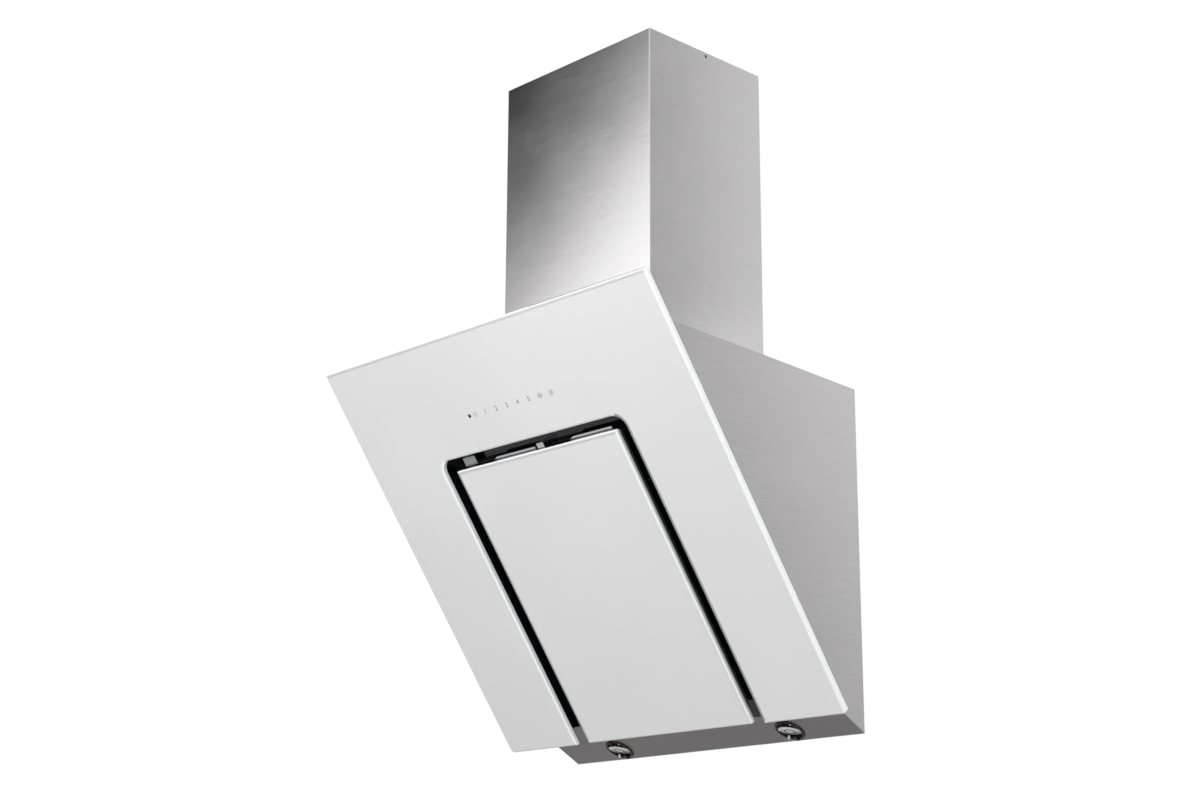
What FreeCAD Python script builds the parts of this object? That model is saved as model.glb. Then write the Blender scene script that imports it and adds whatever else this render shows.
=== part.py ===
import FreeCAD, Part
import math
import os
import Sketcher

# A wall-mounted range hood with a leaning flat glass front, a hinged centre panel with suction
# around its rim, a blower, two lamps and a telescopic chimney.
#
# Lengths are in millimetres and angles in degrees. X runs to the right, the wall is the plane
# y = 0 with the room on the side of negative y, and Z points up. The origin lies on the wall,
# midway between the two screws that the hood hangs on.
#
# Three local frames carry the sub-parts:
#   body frame   y from the wall, z from the body's lower back edge
#   glass frame  X right, Y depth behind the face of the front glass, Z up the slant
#   lamp frame   X right, Y along the sloping underside towards the wall, Z into the body

document = FreeCAD.newDocument("range_hood")
Vector = FreeCAD.Vector

# ---------------------------------------------------------------- driving dimensions

DIMENSIONS = (
    ("body_width", 514, "outside width of the steel body"),
    ("body_height", 435, "height of the steel body at the wall"),
    ("top_slope", 3.3, "rise of the body's top towards the room"),
    ("hang_drop", 40, "wall screws below the body's upper edge at the wall"),
    ("skin", 1, "thickness of the body's steel sheets"),
    ("underside_angle", 29.5, "slope of the lamp panel above the horizontal"),
    ("hang_hole_radius", 4, "hole for a hanging screw"),
    ("hang_hole_spacing", 400, "between the hanging screws"),
    ("lock_hole_radius", 3, "hole for a lower locking screw"),
    ("lock_hole_spacing", 440, "between the lower locking screws"),
    ("lock_hole_height", 60, "lower locking screws above the body's lower edge"),
    ("glass_tilt", 35, "lean of the glass front from the vertical"),
    ("glass_width", 598, "width of the front glass"),
    ("glass_length", 575, "length of the front glass up the slant"),
    ("glass_thickness", 6, "thickness of the front glass"),
    ("glass_foot_reach", 84, "wall to the lower edge of the glass face"),
    ("glass_foot_height", 14, "lower edge of the glass face above the body's lower edge"),
    ("glass_lower_radius", 6, "corner radius at the lower edge of the glass"),
    ("glass_upper_radius", 3, "corner radius at the upper edge of the glass"),
    ("cutout_width", 336, "width of the cut-out in the front glass"),
    ("cutout_length", 421, "length of the cut-out up the slant"),
    ("cutout_radius", 18, "corner radius of the cut-out"),
    ("side_gap", 20, "gap between the centre glass and the cut-out, at each side"),
    ("head_gap", 18, "gap between the centre glass and the cut-out, at the upper edge"),
    ("panel_recess", 2, "centre glass behind the face of the front glass"),
    ("panel_glass_thickness", 5, "thickness of the centre glass"),
    ("panel_corner_radius", 3, "corner radius of the centre glass"),
    ("panel_tray_margin", 4, "centre glass beyond the tray that carries it"),
    ("panel_tray_depth", 8, "depth of the tray behind the centre glass"),
    ("striker_rise", 7.5, "strikers beyond the tray's upper edge"),
    ("striker_slope", 16, "width of a striker's sloping end"),
    ("striker_left_start", -92, "outer end of the left striker"),
    ("striker_left_end", -4, "inner end of the left striker"),
    ("striker_right_start", 49, "inner end of the right striker"),
    ("striker_right_end", 133, "outer end of the right striker"),
    ("post_offset", 8, "centre of the post between the strikers"),
    ("post_width", 12, "width of the post"),
    ("face_depth", 25, "body's front sheet behind the face of the front glass"),
    ("tray_margin", 4, "suction tray's wall outside the cut-out"),
    ("tray_clearance", 0.3, "suction tray's wall behind the front glass"),
    ("panel_lip", 17, "width of the tray's folded lip along its upper edge"),
    ("hinge_depth", 19, "hinge pin behind the face of the front glass"),
    ("hinge_rise", 10, "hinge pin above the lower edge of the glass"),
    ("hinge_offset", 122, "centre of each hinge from the middle"),
    ("hinge_pin_radius", 2.5, "radius of a hinge pin"),
    ("pin_clearance", 0.05, "radial clearance of a hinge pin in a moving ear"),
    ("ear_width", 4, "width of the panel's hinge ear"),
    ("ear_rim", 1.5, "metal round the pin's hole in a hinge ear"),
    ("ear_clearance", 0.5, "side clearance of the panel's hinge ear"),
    ("bracket_skin", 1.5, "thickness of the small brackets"),
    ("catch_offset", 90, "centre of each panel catch from the middle"),
    ("catch_width", 24, "width of a panel catch"),
    ("catch_length", 14, "length of a panel catch up the slant"),
    ("catch_clearance", 0.3, "panel tray in front of a closed catch"),
    ("filter_width", 250, "width of the grease filter"),
    ("filter_head_gap", 49, "grease filter below the upper edge of the cut-out"),
    ("filter_thickness", 9, "thickness of the grease filter"),
    ("filter_foot", 62, "grease filter above the lower edge of the glass"),
    ("filter_clearance", 0.5, "grease filter in its window, all round"),
    ("filter_rim", 10, "width of the grease filter's rim"),
    ("handle_width", 64, "width of the filter's handle"),
    ("handle_length", 22, "length of the filter's handle"),
    ("handle_height", 6, "filter's handle in front of its rim"),
    ("latch_travel", 5, "travel of the filter's latch"),
    ("rail_offset", 222, "web of each glass rail from the middle"),
    ("rail_flange", 22, "width of a glass rail's flange"),
    ("rail_foot", 60, "glass rail above the lower edge of the glass"),
    ("rail_head", 95, "glass rail below the upper edge of the glass"),
    ("touch_gap", 48, "touch keys above the cut-out"),
    ("touch_width", 176, "width of the touch circuit board"),
    ("touch_length", 28, "length of the touch circuit board"),
    ("touch_board_thickness", 1.6, "thickness of the touch circuit board"),
    ("board_clearance", 0.2, "touch cover round the circuit board"),
    ("touch_cover_depth", 12, "depth of the touch cover behind the glass"),
    ("touch_cover_wall", 2, "wall of the touch cover"),
    ("lamp_offset", 153, "centre of each lamp from the middle"),
    ("lamp_rise", 23, "centre of each lamp along the underside"),
    ("lamp_bezel_radius", 20.5, "outside radius of a lamp's bezel"),
    ("lamp_hole_radius", 18, "hole for a lamp in the underside"),
    ("lamp_throat_radius", 16.3, "inside radius of a lamp's bezel"),
    ("lamp_proud", 2, "bezel below the underside"),
    ("lamp_sleeve", 5.5, "length of the bezel's sleeve inside the body"),
    ("lamp_fit", 0.2, "radial clearance of the lamp's pieces"),
    ("lamp_lean", 15, "lens against the underside, so that it faces the cooktop"),
    ("lens_pivot_fit", 0.5, "lens inside the throat at its pivots"),
    ("lens_thickness", 2, "thickness of the lens"),
    ("lens_ring_radius", 7.5, "outside radius of the raised ring on the lens"),
    ("clip_width", 4, "width of a lamp's tabs"),
    ("clip_hold", 3, "tab on the bezel, beyond the throat"),
    ("clip_reach", 5, "rear tab inside the throat"),
    ("lamp_can_radius", 13.5, "outside radius of a lamp's can"),
    ("lamp_can_depth", 6, "depth of a lamp's can"),
    ("lamp_can_wall", 1.5, "wall of a lamp's can"),
    ("duct_reach", 143, "wall to the axis of the outlet"),
    ("collar_radius", 74.5, "outside radius of the outlet collar"),
    ("collar_wall", 1.5, "wall of the outlet collar"),
    ("collar_height", 65, "top of the outlet collar above the body's upper edge at the wall"),
    ("collar_hole_clearance", 0.5, "hole in the top panel round the collar"),
    ("collar_foot", 2, "foot of the collar beyond its neck, which the duct stops on"),
    ("collar_shoulder", 17, "shoulder of the collar above the body's upper edge at the wall"),
    ("collar_flange_radius", 92, "radius of the collar's flange"),
    ("collar_flange", 2, "thickness of the collar's flange"),
    ("flap_height", 37, "axis of the draught flaps above the body's upper edge at the wall"),
    ("flap_pin_radius", 1.5, "radius of the flaps' pin"),
    ("flap_knuckle_radius", 3, "outside radius of a flap's knuckles"),
    ("flap_thickness", 1, "thickness of a draught flap"),
    ("flap_clearance", 1.5, "flap inside the collar's bore"),
    ("fan_reach", 88, "wall to the fan's axis"),
    ("fan_height", 262, "fan's axis above the body's lower edge"),
    ("fan_radius", 68, "radius of the fan wheel"),
    ("fan_half_width", 50, "half width of the fan wheel"),
    ("fan_blades", 32, "number of blades"),
    ("blade_depth", 10, "radial depth of a blade"),
    ("blade_thickness", 1, "thickness of a blade"),
    ("scroll_radius", 79, "smallest radius inside the fan's scroll"),
    ("scroll_step", 9, "growth of the scroll in each quarter turn"),
    ("scroll_half_width", 62, "outside half width of the fan's scroll"),
    ("scroll_wall", 2, "wall of the fan's scroll"),
    ("scroll_outlet", 100, "depth of the scroll's outlet"),
    ("inlet_radius", 54, "radius of the scroll's inlets"),
    ("scroll_top_drop", 20, "top of the scroll below the body's upper edge at the wall"),
    ("adapter_height", 17, "height of the piece between scroll and collar"),
    ("motor_radius", 34, "radius of the motor"),
    ("shaft_radius", 4, "radius of the motor's shaft"),
    ("shaft_clearance", 0.05, "radial clearance of the shaft in the motor"),
    ("hub_radius", 12, "radius of the fan's hub"),
    ("spider_thickness", 2, "thickness of the motor's carrier"),
    ("chimney_width", 276, "outside width of the chimney"),
    ("chimney_depth", 206, "outside depth of the chimney"),
    ("chimney_stand_off", 40, "chimney's back edge from the wall"),
    ("chimney_height", 456, "top of the chimney above the body's upper edge at the wall"),
    ("chimney_sheet", 1, "thickness of the chimney's sheet"),
    ("chimney_bend", 1.5, "outside radius of the chimney's folds"),
    ("chimney_return", 16, "width of the folded edges at the chimney's back"),
    ("chimney_gap", 0.5, "between the outer and the inner chimney"),
    ("chimney_hole_radius", 2, "screw hole in the chimney's sides"),
    ("chimney_hole_drop", 5.4, "screw hole below the chimney's upper edge"),
    ("inner_foot", 40, "inner chimney above the body's upper edge at the wall"),
    ("inner_drop", 2, "inner chimney below the outer chimney's upper edge"),
    ("wall_strap_height", 24, "height of the chimney's wall bracket"),
    ("wall_strap_drop", 5, "wall bracket below the inner chimney's upper edge"),
    ("wall_strap_width", 190, "width of the wall bracket between its legs"),
    ("wall_strap_spacing", 140, "between the screw holes of the wall bracket"),
    ("gland_offset", 90, "cable gland from the middle"),
    ("gland_reach", 20, "wall to the axis of the cable gland"),
    ("gland_bore", 4.5, "radius of the cable gland's bore"),
    ("gland_radius", 7.9, "radius of the cable gland's neck"),
    ("gland_hole_radius", 8, "hole for the cable gland"),
    ("gland_nut_width", 19, "width across the flats of the cable gland's nuts"),
    ("gland_nut_height", 4, "height of the cable gland's nuts"),
    ("control_width", 120, "width of the control box"),
    ("control_height", 100, "height of the control box"),
    ("control_depth", 40, "depth of the control box"),
    ("control_wall", 2, "wall of the control box"),
    ("control_offset", 180, "centre of the control box from the middle"),
    ("control_drop", 205, "centre of the control box below the body's upper edge at the wall"),
    ("driver_width", 80, "width of the lamp driver"),
    ("driver_height", 40, "height of the lamp driver"),
    ("driver_depth", 28, "depth of the lamp driver"),
    ("driver_offset", 160, "centre of the lamp driver from the middle"),
    ("driver_rise", 140, "centre of the lamp driver above the body's lower edge"),
    ("capacitor_radius", 14, "radius of the motor's capacitor"),
    ("capacitor_height", 52, "height of the motor's capacitor"),
    ("capacitor_drop", 195, "centre of the capacitor below the body's upper edge at the wall"),
    ("clip_height", 14, "height of the capacitor's clip"),
    ("clip_sheet", 1.5, "thickness of the capacitor's clip"),
)

sizes = document.addObject("Spreadsheet::Sheet", "sizes")


class Size:
    """A length, angle or count: its number, and the expression that binds a feature to it."""

    def __init__(self, text, value):
        self.text = text
        self.value = value

    def __add__(self, other):
        other = as_size(other)
        return Size(f"({self.text} + {other.text})", self.value + other.value)

    def __sub__(self, other):
        other = as_size(other)
        return Size(f"({self.text} - {other.text})", self.value - other.value)

    def __mul__(self, other):
        other = as_size(other)
        return Size(f"({self.text} * {other.text})", self.value * other.value)

    def __truediv__(self, other):
        other = as_size(other)
        return Size(f"({self.text} / {other.text})", self.value / other.value)

    def __neg__(self):
        return Size(f"(0 - {self.text})", -self.value)

    def __radd__(self, other):
        return as_size(other) + self

    def __rsub__(self, other):
        return as_size(other) - self

    def __rmul__(self, other):
        return as_size(other) * self


def as_size(number):
    return number if isinstance(number, Size) else Size(f"({number})", float(number))


def sine(angle):
    return Size(f"sin({angle.text})", math.sin(math.radians(angle.value)))


def cosine(angle):
    return Size(f"cos({angle.text})", math.cos(math.radians(angle.value)))


class Given:
    """The driving dimensions by name, each bound to its cell of the sheet."""


given = Given()
sizes.set("A1", "name")
sizes.set("B1", "value")
sizes.set("C1", "meaning")
for row, (name, value, meaning) in enumerate(DIMENSIONS, start=2):
    sizes.set(f"A{row}", name)
    sizes.set(f"B{row}", str(value))
    sizes.set(f"C{row}", meaning)
    sizes.setAlias(f"B{row}", name)
    setattr(given, name, Size(f"sizes.{name}", float(value)))
document.recompute()

# ---------------------------------------------------------------- derived dimensions

tilt_sine = sine(given.glass_tilt)
tilt_cosine = cosine(given.glass_tilt)
under_sine = sine(given.underside_angle)
under_cosine = cosine(given.underside_angle)
hang_height = given.body_height - given.hang_drop
top_sine = sine(given.top_slope)
top_cosine = cosine(given.top_slope)
half_body = given.body_width / 2
half_inside = half_body - given.skin
face_back = given.face_depth + given.skin
tray_floor = given.face_depth - given.skin
panel_width = given.cutout_width - given.side_gap * 2
panel_length = given.cutout_length - given.head_gap
filter_length = given.cutout_length - given.filter_head_gap - given.filter_foot
touch_rise = given.cutout_length + given.touch_gap
outlet_height = given.body_height - given.scroll_top_drop
collar_foot_radius = given.collar_radius + given.collar_foot
panel_back = given.panel_recess + given.panel_glass_thickness + given.panel_tray_depth
chimney_front = given.chimney_stand_off + given.chimney_depth


def glass_point(depth, rise):
    """The body-frame reach and height of a point of the glass frame."""
    reach = depth * tilt_cosine - rise * tilt_sine - given.glass_foot_reach
    height = depth * tilt_sine + rise * tilt_cosine + given.glass_foot_height
    return reach, height


def rise_below_top(depth, clearance):
    """Where a layer of the glass frame comes to a distance below the body's sloping top."""
    lean = given.glass_tilt + given.top_slope
    level = (given.body_height - given.glass_foot_height) * top_cosine + given.glass_foot_reach * top_sine
    return (level - clearance - depth * sine(lean)) / cosine(lean)


def rise_above_underside(depth, clearance):
    """Where a layer of the glass frame comes to a distance above the underside's face."""
    lean = given.glass_tilt + given.underside_angle
    level = given.glass_foot_reach * under_sine - given.glass_foot_height * under_cosine
    return (level + clearance - depth * sine(lean)) / cosine(lean)


face_foot = rise_above_underside(given.face_depth, as_size(0))
face_head = rise_below_top(given.face_depth, as_size(0))
front_foot_reach, front_foot_height = glass_point(given.face_depth, face_foot)
front_head_reach, front_head_height = glass_point(given.face_depth, face_head)
underside_length = front_foot_height / under_sine
top_length = -front_head_reach / top_cosine

# ---------------------------------------------------------------- building blocks

nodes = {}
PLANE_SIGN = {"XY_Plane": 1, "XZ_Plane": -1, "YZ_Plane": 1}


def bind(feature, name, size):
    feature.setExpression(name, as_size(size).text)


def keep(name, feature):
    """Makes a feature the sub-part of this name."""
    feature.Label = name
    nodes[name] = feature
    return feature


def place(feature, x=0, y=0, z=0):
    """Puts a feature at a point of the body frame."""
    bind(feature, "Placement.Base.x", x)
    bind(feature, "Placement.Base.y", y)
    bind(feature, "Placement.Base.z", as_size(z) - hang_height)
    return feature


def place_on_glass(feature):
    """Puts a feature of the glass frame where the leaning front is."""
    feature.Placement = FreeCAD.Placement(Vector(), FreeCAD.Rotation(Vector(1, 0, 0), given.glass_tilt.value))
    place(feature, 0, -given.glass_foot_reach, given.glass_foot_height)
    bind(feature, "Placement.Rotation.Angle", given.glass_tilt)
    return feature


def place_under(feature, x=0, along=0):
    """Puts a feature of the lamp frame at a point along the sloping underside."""
    turn = FreeCAD.Rotation(Vector(-1, 0, 0), given.underside_angle.value)
    feature.Placement = FreeCAD.Placement(Vector(), turn)
    along = as_size(along)
    place(feature, x, -along * under_cosine, along * under_sine)
    bind(feature, "Placement.Rotation.Angle", given.underside_angle)
    return feature


def place_on_top(feature):
    """Puts a feature of the sloping top's frame on the body: its Z stands on the top's face."""
    turn = FreeCAD.Rotation(Vector(-1, 0, 0), given.top_slope.value)
    feature.Placement = FreeCAD.Placement(Vector(), turn)
    place(feature, 0, 0, given.body_height)
    bind(feature, "Placement.Rotation.Angle", given.top_slope)
    return feature


def fix_point(sketch, geometry, position, point):
    """Ties a point of a sketch to its two coordinates, measured from the sketch's origin."""
    for kind, axis, size in (("DistanceX", -2, as_size(point[0])), ("DistanceY", -1, as_size(point[1]))):
        if size.text == "(0)":
            sketch.addConstraint(Sketcher.Constraint("PointOnObject", geometry, position, axis))
            continue
        index = sketch.addConstraint(Sketcher.Constraint(kind, -1, 1, geometry, position, size.value))
        sketch.setExpression(f"Constraints[{index}]", size.text)


def step_towards(corner, other, radius):
    """The point at a radius from a corner, along the square edge that leads to another corner."""
    across, up = as_size(corner[0]), as_size(corner[1])
    run = as_size(other[0]).value - across.value
    climb = as_size(other[1]).value - up.value
    if abs(run) > abs(climb):
        return (across + radius if run > 0 else across - radius), up
    return across, (up + radius if climb > 0 else up - radius)


def flat(point):
    return Vector(as_size(point[0]).value, as_size(point[1]).value, 0)


def draw_outline(sketch, corners):
    """Draws a closed outline. A corner is (across, up), or (across, up, radius) where it is square."""
    count = len(corners)
    path = []
    for index, corner in enumerate(corners):
        if len(corner) == 2:
            path.append((corner, corner, None))
            continue
        before, after = corners[index - 1], corners[(index + 1) % count]
        radius = as_size(corner[2])
        path.append((step_towards(corner, before, radius), step_towards(corner, after, radius), radius))
    joints = []
    for index, (entry, leave, radius) in enumerate(path):
        if radius is not None:
            corner = flat(corners[index])
            start, end = flat(entry), flat(leave)
            centre = start + end - corner
            turn = (corner - start).cross(end - corner).z
            first, last = (start, end) if turn > 0 else (end, start)
            begin = math.atan2(first.y - centre.y, first.x - centre.x)
            finish = math.atan2(last.y - centre.y, last.x - centre.x)
            circle = Part.Circle(centre, Vector(0, 0, 1), radius.value)
            arc = sketch.addGeometry(Part.ArcOfCircle(circle, begin, finish))
            row = sketch.addConstraint(Sketcher.Constraint("Radius", arc, radius.value))
            sketch.setExpression(f"Constraints[{row}]", radius.text)
            entry_end, leave_end = (1, 2) if turn > 0 else (2, 1)
            fix_point(sketch, arc, entry_end, entry)
            joints.append((arc, entry_end, arc, leave_end))
        following = path[(index + 1) % count][0]
        line = sketch.addGeometry(Part.LineSegment(flat(leave), flat(following)))
        fix_point(sketch, line, 1, leave)
        joints.append((line, 1, line, 2))
    for index, (_, _, geometry, end) in enumerate(joints):
        after, start, _, _ = joints[(index + 1) % len(joints)]
        sketch.addConstraint(Sketcher.Constraint("Coincident", geometry, end, after, start))


def draw_circle(sketch, across, up, radius):
    point = (as_size(across), as_size(up))
    circle = sketch.addGeometry(Part.Circle(flat(point), Vector(0, 0, 1), as_size(radius).value))
    fix_point(sketch, circle, 3, point)
    index = sketch.addConstraint(Sketcher.Constraint("Radius", circle, as_size(radius).value))
    sketch.setExpression(f"Constraints[{index}]", as_size(radius).text)


def pad(body, plane, start, thickness, outlines=(), circles=()):
    """Adds a pad to a body: outlines and circles on one of its planes, inner ones left open."""
    sketch = body.newObject("Sketcher::SketchObject", f"{body.Name}_sketch")
    support = [feature for feature in body.Origin.OriginFeatures if feature.Role == plane][0]
    sketch.AttachmentSupport = (support, [""])
    sketch.MapMode = "FlatFace"
    sign = PLANE_SIGN[plane]
    sketch.setExpression("AttachmentOffset.Base.z", (as_size(start) * sign).text)
    for corners in outlines:
        draw_outline(sketch, corners)
    for across, up, radius in circles:
        draw_circle(sketch, across, up, radius)
    feature = body.newObject("PartDesign::Pad", f"{body.Name}_pad")
    feature.Profile = sketch
    feature.Reversed = sign < 0
    bind(feature, "Length", thickness)
    return feature


def new_body(name):
    return document.addObject("PartDesign::Body", f"{name}_body")


def plate(name, plane, start, thickness, outlines=(), circles=()):
    """A body with one pad."""
    body = new_body(name)
    pad(body, plane, start, thickness, outlines, circles)
    return body


def rectangle(left, right, low, high):
    return [(left, low), (right, low), (right, high), (left, high)]


def block(name, left, right, front, back, low, high):
    """A box between six planes."""
    box = document.addObject("Part::Box", name)
    bind(box, "Length", as_size(right) - left)
    bind(box, "Width", as_size(back) - front)
    bind(box, "Height", as_size(high) - low)
    bind(box, "Placement.Base.x", left)
    bind(box, "Placement.Base.y", front)
    bind(box, "Placement.Base.z", low)
    return box


ROUND_TURN = {
    "X": FreeCAD.Rotation(Vector(0, 1, 0), 90),
    "Y": FreeCAD.Rotation(Vector(1, 0, 0), -90),
    "Z": FreeCAD.Rotation(),
}


def round_bar(name, axis, radius, length, x=0, y=0, z=0):
    """A cylinder that starts at a point and runs along an axis."""
    bar = document.addObject("Part::Cylinder", name)
    bar.Placement = FreeCAD.Placement(Vector(), ROUND_TURN[axis])
    bind(bar, "Radius", radius)
    bind(bar, "Height", length)
    bind(bar, "Placement.Base.x", x)
    bind(bar, "Placement.Base.y", y)
    bind(bar, "Placement.Base.z", z)
    return bar


def fuse(name, features):
    joined = document.addObject("Part::MultiFuse", name)
    joined.Shapes = features
    return joined


def cut(name, base, tools):
    """A feature less one or more others."""
    remaining = document.addObject("Part::Cut", name)
    remaining.Base = base
    remaining.Tool = tools[0] if len(tools) == 1 else fuse(f"{name}_tools", tools)
    return remaining


def tube(name, axis, outer, inner, length, x=0, y=0, z=0):
    return cut(name, round_bar(f"{name}_outside", axis, outer, length, x, y, z),
               [round_bar(f"{name}_inside", axis, inner, length, x, y, z)])


SIDES = (("left", -1), ("right", 1))

# ---------------------------------------------------------------- steel body


def make_back_panel():
    low, high = as_size(0), given.body_height - given.skin / top_cosine
    hang = given.hang_hole_spacing / 2
    lock = given.lock_hole_spacing / 2
    holes = [(side * hang, hang_height, given.hang_hole_radius) for _, side in SIDES]
    holes += [(side * lock, given.lock_hole_height, given.lock_hole_radius) for _, side in SIDES]
    panel = plate("back_panel", "XZ_Plane", -given.skin, given.skin,
                  [rectangle(-half_inside, half_inside, low, high)], holes)
    keep("back_panel", place(panel))


def make_side_panels():
    """The two side sheets follow the whole profile of the body."""
    profile = [(0, 0), (0, given.body_height), (front_head_reach, front_head_height),
               (front_foot_reach, front_foot_height)]
    for word, side in SIDES:
        start = half_inside if side > 0 else -half_body
        panel = plate(f"{word}_side_panel", "YZ_Plane", start, given.skin, [profile])
        keep(f"{word}_side_panel", place(panel))


def make_top_panel():
    """The sloping top sheet with the holes for the collar and the cable gland."""
    hole = collar_foot_radius + given.collar_hole_clearance
    panel = plate("top_panel", "XY_Plane", -given.skin, given.skin,
                  [rectangle(-half_inside, half_inside, given.skin - top_length, 0)],
                  [(0, -given.duct_reach / top_cosine, hole),
                   (given.gland_offset, -given.gland_reach, given.gland_hole_radius)])
    keep("top_panel", place_on_top(panel))


def make_lamp_panel():
    """The sloping underside, cut square a little short of the wall and of the front sheet."""
    back = (given.skin + given.skin * under_sine) / under_cosine
    front = underside_length - given.skin
    panel = plate("lamp_panel", "XY_Plane", 0, given.skin,
                  [rectangle(-half_inside, half_inside, -front, -back)],
                  [(side * given.lamp_offset, -given.lamp_rise, given.lamp_hole_radius)
                   for _, side in SIDES])
    keep("lamp_panel", place_under(panel))


half_window = given.filter_width / 2 + given.filter_clearance
window_foot = given.filter_foot - given.filter_clearance
window_head = given.filter_foot + filter_length + given.filter_clearance


def make_front_frame():
    """The leaning front sheet, open where the grease filter sits."""
    low = rise_above_underside(given.face_depth, given.skin * 1.1)
    high = rise_below_top(face_back, given.skin)
    frame = plate("front_frame", "XZ_Plane", given.face_depth, given.skin,
                  [rectangle(-half_inside, half_inside, low, high),
                   rectangle(-half_window, half_window, window_foot, window_head)])
    keep("front_frame", place_on_glass(frame))


# ---------------------------------------------------------------- glass front

half_glass = given.glass_width / 2
half_cutout = given.cutout_width / 2


def make_front_glass():
    """One flat pane with a cut-out that is open at the lower edge."""
    corners = [
        (-half_glass, 0, given.glass_lower_radius), (-half_cutout, 0),
        (-half_cutout, given.cutout_length, given.cutout_radius),
        (half_cutout, given.cutout_length, given.cutout_radius), (half_cutout, 0),
        (half_glass, 0, given.glass_lower_radius),
        (half_glass, given.glass_length, given.glass_upper_radius),
        (-half_glass, given.glass_length, given.glass_upper_radius),
    ]
    pane = plate("front_glass", "XZ_Plane", 0, given.glass_thickness, [corners])
    keep("front_glass", place_on_glass(pane))


def make_glass_rails():
    """Z-shaped rails that hold the pane off the front sheet."""
    front, back = given.glass_thickness, given.face_depth
    skin = given.bracket_skin
    for word, side in SIDES:
        web = given.rail_offset * side
        inward, outward = -side * given.rail_flange, side * given.rail_flange
        corners = [(web + inward, front), (web, front), (web, back - skin), (web + outward, back - skin),
                   (web + outward, back), (web - side * skin, back), (web - side * skin, front + skin),
                   (web + inward, front + skin)]
        length = given.glass_length - given.rail_foot - given.rail_head
        rail = plate(f"glass_rail_{word}", "XY_Plane", given.rail_foot, length, [corners])
        keep(f"glass_rail_{word}", place_on_glass(rail))


def make_suction_tray():
    """The dark recess round the centre panel: a floor with the filter's window, and a wall on three sides."""
    skin = given.skin
    foot = rise_above_underside(tray_floor, skin * 1.1)
    inner = half_cutout + given.tray_margin
    outer = inner + skin
    inner_head = given.cutout_length + given.tray_margin
    outer_head = inner_head + skin
    inner_radius = given.cutout_radius + given.tray_margin
    outer_radius = inner_radius + skin
    wall = [(-outer, foot), (-outer, outer_head, outer_radius), (outer, outer_head, outer_radius),
            (outer, foot), (inner, foot), (inner, inner_head, inner_radius),
            (-inner, inner_head, inner_radius), (-inner, foot)]
    floor = [(-outer, foot), (-outer, outer_head, outer_radius), (outer, outer_head, outer_radius),
             (outer, foot)]
    wall_front = given.glass_thickness + given.tray_clearance
    tray = new_body("suction_tray")
    pad(tray, "XZ_Plane", tray_floor, skin,
        [floor, rectangle(-half_window, half_window, window_foot, window_head)])
    pad(tray, "XZ_Plane", wall_front, tray_floor - wall_front, [wall])
    keep("suction_tray", place_on_glass(tray))


def make_tray_screws():
    """Domed screws on the tray's floor, in the gap beside the centre panel."""
    radius, height = 3.5, 2
    across = (panel_width + given.cutout_width) / 4
    heads = []
    for word, side in SIDES:
        for number in range(3):
            rise = given.filter_foot + (number * 0.4 + 0.1) * filter_length
            heads.append(round_bar(f"tray_screw_{word}_{number}", "Y", radius, height,
                                   side * across, tray_floor - height, rise))
    keep("tray_screws", place_on_glass(fuse("tray_screws_all", heads)))


# ---------------------------------------------------------------- centre panel and its hinges


def make_centre_glass():
    half, radius = panel_width / 2, given.panel_corner_radius
    corners = [(-half, 0, radius), (half, 0, radius), (half, panel_length, radius),
               (-half, panel_length, radius)]
    pane = plate("centre_glass", "XZ_Plane", given.panel_recess, given.panel_glass_thickness, [corners])
    keep("centre_glass", place_on_glass(pane))


def make_panel_tray():
    """The folded steel tray bonded behind the centre glass, with the two hinge ears."""
    margin, skin = given.panel_tray_margin, given.skin
    half = panel_width / 2 - margin
    front = given.panel_recess + given.panel_glass_thickness
    high = panel_length - margin
    tray = new_body("panel_tray")
    pad(tray, "XZ_Plane", front, skin, [rectangle(-half, half, margin, high)])
    pad(tray, "XZ_Plane", front + skin, given.panel_tray_depth - skin,
        [rectangle(-half, half, margin, high),
         rectangle(-half + skin, half - skin, margin + skin, high - skin)])
    pad(tray, "XZ_Plane", panel_back - skin, skin,
        [rectangle(-half + skin, half - skin, high - given.panel_lip, high - skin)])
    crest, run = high + given.striker_rise, given.striker_slope
    for left, right in ((given.striker_left_start, given.striker_left_end),
                        (given.striker_right_start, given.striker_right_end)):
        striker = [(left, high - skin), (left + run, crest), (right, crest), (right, high - skin)]
        pad(tray, "XZ_Plane", panel_back - skin * 2, skin, [striker])
    depth, rise = given.hinge_depth, given.hinge_rise
    reach = given.hinge_pin_radius + given.ear_rim
    chamfer = reach * 0.4
    root = margin + skin
    for _, side in SIDES:
        start = side * given.hinge_offset - given.ear_width / 2
        ear = [(front + skin, root), (panel_back, root), (depth + chamfer, rise - reach),
               (depth + reach, rise - chamfer), (depth + reach, rise + chamfer),
               (depth + chamfer, rise + reach), (panel_back, rise + 12), (front + skin, rise + 18)]
        pad(tray, "YZ_Plane", start, given.ear_width, [ear],
            [(depth, rise, given.hinge_pin_radius + given.pin_clearance)])
    keep("panel_tray", place_on_glass(tray))


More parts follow.
